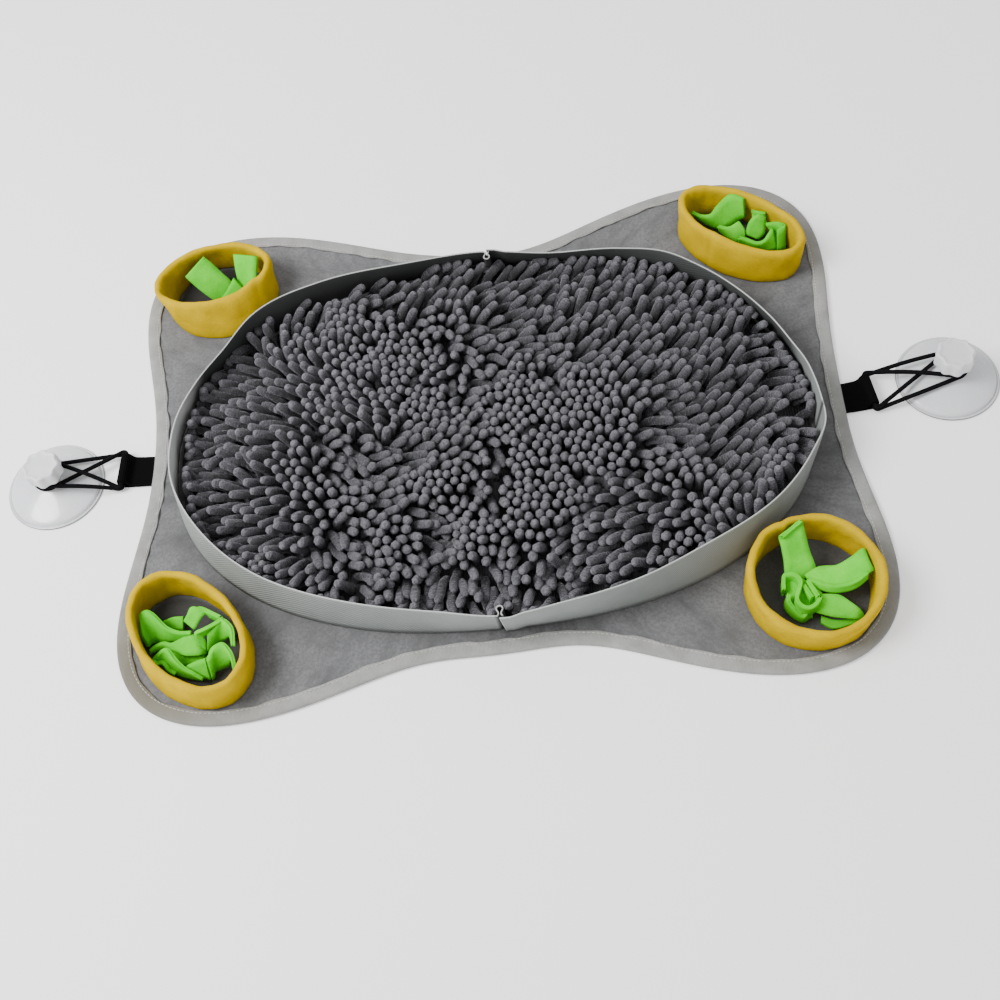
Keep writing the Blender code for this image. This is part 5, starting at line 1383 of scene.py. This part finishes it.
class SNUFFLE_OT_pockets(SnuffleOperator, bpy.types.Operator):
    """Stands the fleece pockets up: a soft folded section carried from an oval foot to its rim.

    A point lies between foot and rim by its share of the height, moved outwards by the section's
    width and small ripples and inwards by the creases.
    """

    bl_idname = "snuffle.pockets"
    bl_label = "Fleece pockets"

    def build(self, scene):
        settings = scene.snuffle_fleece
        material = fleece_finish("yellow_fleece", settings.yellow, settings.yellow_shade)
        form = smooth_line(np.array(POCKET_FORM) * POCKET_STRETCH, POCKET_STEP, True)
        across, share = (form / POCKET_STRETCH).T
        bearing = np.linspace(0, 360, POCKET_STEPS, endpoint=False)
        for name, (foot_row, rim_row) in POCKETS.items():
            foot, foot_out = oval(foot_row, POCKET_STEPS)
            rim, rim_out = oval(rim_row, POCKET_STEPS)
            part = share[None, :, None]
            middle = foot[:, None] * (1 - part) + rim[:, None] * part
            out = unit(foot_out[:, None] * (1 - part) + rim_out[:, None] * part)
            turn = np.radians(bearing)[:, None]
            inward = sum(self.crease(bearing, share, *row) for row in CREASES[name])
            ripple = sum(depth * np.sin(times * turn + slant * share)
                         for depth, times, slant in RIPPLES)
            thick = 1 + 0.07 * np.sin(7 * turn + 2) * np.sin(3 * turn)
            plan = middle + out * (across[None] * thick - inward + ripple)[..., None]
            rise = (POCKET_RIM - PIECE_FLOOR) * share[None]
            lift = (0.5 * np.sin(3 * turn + foot_row[0]) + 0.3 * np.sin(7 * turn)) * share[None] ** 3
            grid = np.dstack([plan, PIECE_FLOOR + rise + lift - POCKET_SETTLE * share[None] ** 3])
            # the low mark is painted shade at the pocket's foot
            made = shell("fleece_pocket_" + name, grid, wrap_rows=True,
                         low=POCKET_FOOT_PAINTED_SHADE * (1 - share) ** 3)
            dress(made, material, "yellow_fleece", "pocket_" + name)

    def crease(self, bearing, share, at, depth, wide, height):
        """A soft trough: its depth times a bell curve of the bearing and one of the height."""
        off = (bearing - at + 180) % 360 - 180
        fade = np.exp(-((share - height) / CREASE_HIGH) ** 2)
        return depth * np.exp(-(off / wide) ** 2)[:, None] * fade


class SNUFFLE_OT_strips(SnuffleOperator, bpy.types.Operator):
    """Curls the green strips: a doubled flat section spread between each ribbon's two edges.

    A point is the ribbon's middle, plus its share of the half-width, plus along the ribbon's
    normal the section's thickness and a curl that grows as the square of that share.
    """

    bl_idname = "snuffle.strips"
    bl_label = "Fleece strips"

    def build(self, scene):
        settings = scene.snuffle_fleece
        material = fleece_finish("green_fleece", settings.green, settings.green_shade)
        across, through = np.array(STRIP_FORM).T
        for name, ribbons in STRIPS.items():
            lines = [smooth_line(rows, STRIP_STEP) for rows in ribbons]
            runs = [run_along(line[:, :3] + line[:, 3:], False)[:-1] / 2 for line in lines]
            longs = np.array([run[-1] for run in runs])
            rows = round(longs.max() / STRIP_STEP)
            even = np.stack([[np.interp(np.linspace(0, run[-1], rows), run, column)
                              for column in line.T]
                             for run, line in zip(runs, lines)]).transpose(0, 2, 1)
            pocket = POCKETS[name.removeprefix("strip_")[:-len("_a")]]
            first, second = (self.inside(edge, pocket) for edge in (even[..., :3], even[..., 3:]))
            middle, half = (first + second) / 2, (second - first) / 2
            normal = unit(np.cross(np.gradient(middle, axis=1), half))
            run = np.linspace(0, 1, rows)[None, :] * longs[:, None]
            curl = STRIP_CURL * across ** 2 * np.sin(run / STRIP_CURL_LONG)[..., None]
            body = through * STRIP_THICK / 2 + curl
            slit = [through * STRIP_THICK / 2 * STRIP_SLIT + curl[:, at] for at in (0, -1)]
            body = np.concatenate([slit[0][:, None], body, slit[1][:, None]], 1)
            order = np.clip(np.arange(-1, rows + 1), 0, rows - 1)
            inward = np.concatenate([[1], np.arange(rows), [rows - 2]])
            grid = (middle[:, inward, None] + half[:, order, None] * across[:, None]
                    + normal[:, order, None] * body[..., None])
            # painted shade on the strips' low-lying parts, as the low mark
            low = np.interp(grid[..., 2], (STRIP_PAINTED_SHADE_LOW, STRIP_PAINTED_SHADE_HIGH), (STRIP_PAINTED_SHADE, 0.0))
            made = shell("fleece_" + name, grid, start=grid[:, 0].mean(1),
                         end=grid[:, -1].mean(1), low=low)
            dress(made, material, "green_fleece", name)
            total = longs.sum()

    def inside(self, points, pocket):
        """Points past the pocket's inner side are drawn back to it, towards its middle."""
        foot, rim = np.array(pocket, float)
        share = (points[..., 2:] - PIECE_FLOOR) / (POCKET_RIM - PIECE_FLOOR)
        row = foot + (rim - foot) * share - (0, 0, STRIP_CLEAR, STRIP_CLEAR, 0)
        pull = 1 / np.maximum(oval_reach(points, np.moveaxis(row, -1, 0)), 1)
        plan = row[..., :2] + (points[..., :2] - row[..., :2]) * pull[..., None]
        return np.concatenate([plan, points[..., 2:]], -1)


class SNUFFLE_OT_tabs(SnuffleOperator, bpy.types.Operator):
    """Folds the webbing tabs: a band carried out, round the elastic's tunnel and back."""

    bl_idname = "snuffle.tabs"
    bl_label = "Webbing tabs"

    def build(self, scene):
        material = webbing_finish(scene.snuffle_ends.webbing)
        low, high, half = TUNNEL_LOW - TAB_LAYER / 2, TUNNEL_HIGH + TAB_LAYER / 2, TAB_LAYER / 2
        for side, end in ENDS.items():
            root, out = tab_root(end)
            reach = (np.array(end["tab_end"]) - root) @ out
            near, far = reach - TUNNEL_HALF - half, reach + TUNNEL_HALF + half
            path = smooth_line([  # out along the floor, round the tunnel and back, as (out, up)
                (-TAB_ROOT_IN, 1.75), (0.0, 1.7), (near - 12, 1.2), (near - 4, low), (near, low),
                (far - 1.2, low), (far, low + 1.6), (far, high - 1.6), (far - 1.4, high),
                (near + 1.2, high - 0.2), (near - 0.4, high - 2.0), (near - 1.6, low + 4.2),
                (near - 3.6, low + 2.2), (near - 8, low + 1.7), (0.0, 2.35),
                (-TAB_ROOT_IN, 2.3)], TAB_STEP)
            ahead = unit(np.gradient(path, axis=0))
            through = np.stack([-ahead[:, 1], ahead[:, 0]], -1)
            width, thick = np.array(TAB_FORM).T * ((TAB_WIDE / 2,), (half,))
            beside = np.array([-out[1], out[0]])
            plan = path[:, None] + through[:, None] * thick[None, :, None]
            level = root + plan[..., :1] * out + beside * width[None, :, None]
            grid = np.dstack([level, plan[..., 1]])
            made = shell("webbing_tab_" + side, grid, start=grid[0].mean(0), end=grid[-1].mean(0))
            dress(made, material, "black_webbing", "side_tab_" + side)


class SNUFFLE_OT_elastics(SnuffleOperator, bpy.types.Operator):
    """Strings the elastics: one closed doubled loop from each tab round its cup's neck."""

    bl_idname = "snuffle.elastics"
    bl_label = "Elastic loops"

    def build(self, scene):
        material = elastic_finish(scene.snuffle_ends.elastic)
        for side, end in ENDS.items():
            path = smooth_line(self.points(end), ELASTIC_STEP, closed=True)
            made = closed_tube("elastic_loop_" + side, path, ELASTIC_THICK / 2, ELASTIC_SIDES)
            dress(made, material, "black_elastic", "elastic_" + side)

    def points(self, end):
        """The loop's own points: low side run, round the neck, crossed run, and back the same way."""
        cup, tunnel = np.array(end["cup"]), np.array(end["tab_end"])
        _, out = tab_root(end)
        toward = (tunnel - cup) / np.linalg.norm(tunnel - cup)
        beside = np.array([-toward[1], toward[0]])
        across = np.array([out[1], -out[0]])
        low = TUNNEL_LOW + ELASTIC_THICK / 2 + GAP
        round_neck = NECK_RADIUS + ELASTIC_THICK / 2 + 2 * GAP

        def arc(centre, radius, start, stop, step, first, second):
            count = max(2, round(abs(stop - start) / step) + 1)
            swing = np.radians(np.linspace(start, stop, count))[:, None]
            return centre + radius * (np.cos(swing) * first + np.sin(swing) * second)

        def corner(sign, level, swing):
            centre = tunnel + out * CORNER_BEND + across * sign * (TAB_WIDE / 2 + GAP)
            bend = arc(centre, CORNER_BEND, 0, swing, CORNER_TURN, -out, across * sign)
            return at_height(np.vstack([tunnel + across * sign * TAB_WIDE / 4, bend]), level)

        def neck(start, stop, level):
            return at_height(arc(cup, round_neck, start, stop, NECK_TURN, toward, beside), level)

        def strand(port, neck_point, level, arch):
            count = round(np.linalg.norm(neck_point - port[:2]) / STRAND_STEP)
            share = (np.arange(1, count) / count)[:, None]
            plan = port[:2] * (1 - share) + neck_point * share
            height = port[2] * (1 - share) + level * share + arch * np.sin(np.pi * share)
            return np.concatenate([plan, height], 1)

        low_neck, high_neck = NECK_LEVELS
        lower, upper = neck(*LOWER_TURN, low_neck), neck(*UPPER_TURN, high_neck)
        outer_plus, outer_minus = corner(1, low, OUTER_SWING), corner(-1, low, OUTER_SWING)
        inner_plus = corner(1, low + STRAND_PITCH, INNER_SWING)
        inner_minus = corner(-1, low + STRAND_PITCH, INNER_SWING)
        return np.vstack([
            outer_plus,
            strand(outer_plus[-1], lower[0, :2], low_neck, 0.0),
            lower,
            strand(inner_plus[-1], lower[-1, :2], low_neck, 0.0)[::-1],
            inner_plus[::-1],
            inner_minus,
            strand(inner_minus[-1], upper[0, :2], high_neck, UPPER_ARCH),
            upper,
            strand(outer_minus[-1], upper[-1, :2], high_neck, UPPER_ARCH)[::-1],
            outer_minus[::-1],
        ])


class SNUFFLE_OT_cups(SnuffleOperator, bpy.types.Operator):
    """Turns the suction cups: one profile from under the dome, round the lip and up to the stem.

    The lip's painted shade rings, at its outer edge and in its groove, are bell curves of the radius.
    """

    bl_idname = "snuffle.cups"
    bl_label = "Suction cups"

    def build(self, scene):
        material = vinyl_finish(scene.snuffle_ends.vinyl)
        profile = np.array(CUP_UNDER[::-1] + CUP_FORM)
        radius, height = profile.T[:, :, None]
        # painted shade rings at the lip's outer edge and in its groove
        lip = sum(deep * np.exp(-((radius - at) / reach) ** 2) for at, reach, deep in LIP_PAINTED_SHADE_RINGS)
        for side, end in ENDS.items():
            grid = lathe(end["cup"], np.repeat(radius, CUP_STEPS, 1), height)
            made = shell("vinyl_cup_" + side, grid, start=(*end["cup"], *height[0]),
                         end=(*end["cup"], *height[-1]), lip=lip)
            dress(made, material, "cup_vinyl", "suction_cup_" + side)


class SNUFFLE_OT_knobs(SnuffleOperator, bpy.types.Operator):
    """Moulds the screw knobs: a lobed outline carried up a profile, with a blind bore below.

    The radius is the profile's share of the knob's, plus its share of the lobes' cosine.
    """

    bl_idname = "snuffle.knobs"
    bl_label = "Screw knobs"

    def build(self, scene):
        material = plastic_finish(scene.snuffle_ends.plastic)
        under = [(share, height, 0.0) for share, height in KNOB_UNDER[::-1]]
        share, height, lobes = np.vstack([under, KNOB_FORM]).T[:, :, None]
        radius = share * KNOB_RADIUS + lobes * KNOB_LOBE * np.cos(KNOB_LOBES * full_turn(KNOB_STEPS))
        for side, end in ENDS.items():
            made = shell("screw_knob_" + side, lathe(end["cup"], radius, height),
                         start=(*end["cup"], *height[0]), end=(*end["cup"], *height[-1]))
            dress(made, material, "knob_plastic", "cup_knob_" + side, body="knob_" + side)


class SNUFFLE_OT_stage(SnuffleOperator, bpy.types.Operator):
    """Sets the stage: a pale floor with a little glow, two soft lights, a sky and the camera."""

    bl_idname = "snuffle.stage"
    bl_label = "Stage and camera"

    def build(self, scene):
        settings = scene.snuffle_stage
        self.floor(settings)
        for name, (place, size) in LAMPS.items():
            self.lamp(scene, name, place, size, getattr(settings, name))
        self.sky(scene, settings)
        self.camera(scene, settings)

    def sky(self, scene, settings):
        """Light from all round, brighter towards one side: strength (1 + direction . SKY_SIDE)."""
        world = bpy.data.worlds.new("soft_sky")
        world.use_nodes = True
        nodes, links = world.node_tree.nodes, world.node_tree.links
        toward = nodes.new("ShaderNodeVectorMath")
        toward.operation = "DOT_PRODUCT"
        links.new(nodes.new("ShaderNodeTexCoord").outputs["Generated"], toward.inputs[0])
        toward.inputs[1].default_value = [settings.sky * side for side in SKY_SIDE]
        total = nodes.new("ShaderNodeMath")
        links.new(toward.outputs["Value"], total.inputs[0])
        total.inputs[1].default_value = settings.sky
        links.new(total.outputs[0], nodes["Background"].inputs["Strength"])
        nodes["Background"].inputs["Color"].default_value = (1, 1, 1, 1)
        scene.world = world

    def floor(self, settings):
        """A flat disc just under the mat, wide enough to reach the horizon."""
        radii = np.repeat(np.array(FLOOR_RADII)[:, None], FLOOR_STEPS, 1)
        floor = shell("floor", lathe((0, 0), radii, FLOOR_LEVEL), start=(0, 0, FLOOR_LEVEL))
        finish = Finish("studio_floor", settings.floor, 0.85, Emission_Strength=settings.glow,
                        Emission_Color=(1, 1, 1, 1))
        finish.paint(finish.tones(finish.noise(finish.place(), 0.6), 0.985, 1))
        floor.data.materials.append(finish.material)

    def lamp(self, scene, name, place, size, watts):
        """A round area light at this place in metres, turned to the mat's middle."""
        data = bpy.data.lights.new(name, "AREA")
        data.shape = "DISK"
        data.size = size
        data.energy = watts
        lamp = bpy.data.objects.new(name, data)
        scene.collection.objects.link(lamp)
        lamp.location = place
        lamp.rotation_euler = (-Vector(place)).to_track_quat("-Z", "Y").to_euler()

    def camera(self, scene, settings):
        """Looks at the aim from the azimuth and elevation, rolled about the line of sight."""
        data = bpy.data.cameras.new("camera")
        data.lens = settings.lens
        data.sensor_width = SENSOR_WIDE
        data.sensor_fit = "HORIZONTAL"
        data.clip_start, data.clip_end = CLIP
        camera = bpy.data.objects.new("camera", data)
        scene.collection.objects.link(camera)
        a, e = settings.azimuth, settings.elevation
        back = Vector((math.sin(a) * math.cos(e), -math.cos(a) * math.cos(e), math.sin(e)))
        look = (-back).to_track_quat("-Z", "Y").to_matrix().to_4x4()
        place = Matrix.Translation(Vector(settings.aim) + back * settings.distance)
        camera.matrix_world = place @ look @ Matrix.Rotation(settings.roll, 4, "Z")
        scene.camera = camera


class SNUFFLE_PT_panel(bpy.types.Panel):
    """Lists the mat's operators and their settings in the sidebar."""

    bl_label = "Snuffle Mat"
    bl_idname = "SNUFFLE_PT_panel"
    bl_space_type = "VIEW_3D"
    bl_region_type = "UI"
    bl_category = "Snuffle Mat"

    def draw(self, context):
        layout = self.layout
        for operator in OPERATORS:
            layout.operator(operator.bl_idname)
        for name, group in GROUPS.items():
            box = layout.box()
            box.label(text=group.__doc__)
            for setting in group.__annotations__:
                box.prop(getattr(context.scene, name), setting)


GROUPS = {
    "snuffle_cloth": SNUFFLE_PG_cloth,
    "snuffle_pile": SNUFFLE_PG_pile,
    "snuffle_fleece": SNUFFLE_PG_fleece,
    "snuffle_ends": SNUFFLE_PG_ends,
    "snuffle_stage": SNUFFLE_PG_stage,
}
OPERATORS = (
    SNUFFLE_OT_stage,
    SNUFFLE_OT_base,
    SNUFFLE_OT_tape,
    SNUFFLE_OT_walls,
    SNUFFLE_OT_backing,
    SNUFFLE_OT_pile,
    SNUFFLE_OT_pockets,
    SNUFFLE_OT_strips,
    SNUFFLE_OT_tabs,
    SNUFFLE_OT_elastics,
    SNUFFLE_OT_cups,
    SNUFFLE_OT_knobs,
)


def register():
    for cls in (*GROUPS.values(), *OPERATORS, SNUFFLE_PT_panel):
        bpy.utils.register_class(cls)
    for name, group in GROUPS.items():
        setattr(bpy.types.Scene, name, PointerProperty(type=group))


def unregister():
    for name in GROUPS:
        delattr(bpy.types.Scene, name)
    for cls in (SNUFFLE_PT_panel, *reversed(OPERATORS), *reversed(GROUPS.values())):
        bpy.utils.unregister_class(cls)


def main():
    register()
    bpy.ops.snuffle.stage()
    bpy.ops.snuffle.base()
    bpy.ops.snuffle.tape()
    bpy.ops.snuffle.walls()
    bpy.ops.snuffle.backing()
    bpy.ops.snuffle.pile()
    bpy.ops.snuffle.pockets()
    bpy.ops.snuffle.strips()
    bpy.ops.snuffle.tabs()
    bpy.ops.snuffle.elastics()
    bpy.ops.snuffle.cups()
    bpy.ops.snuffle.knobs()


if __name__ == "__main__":
    main()
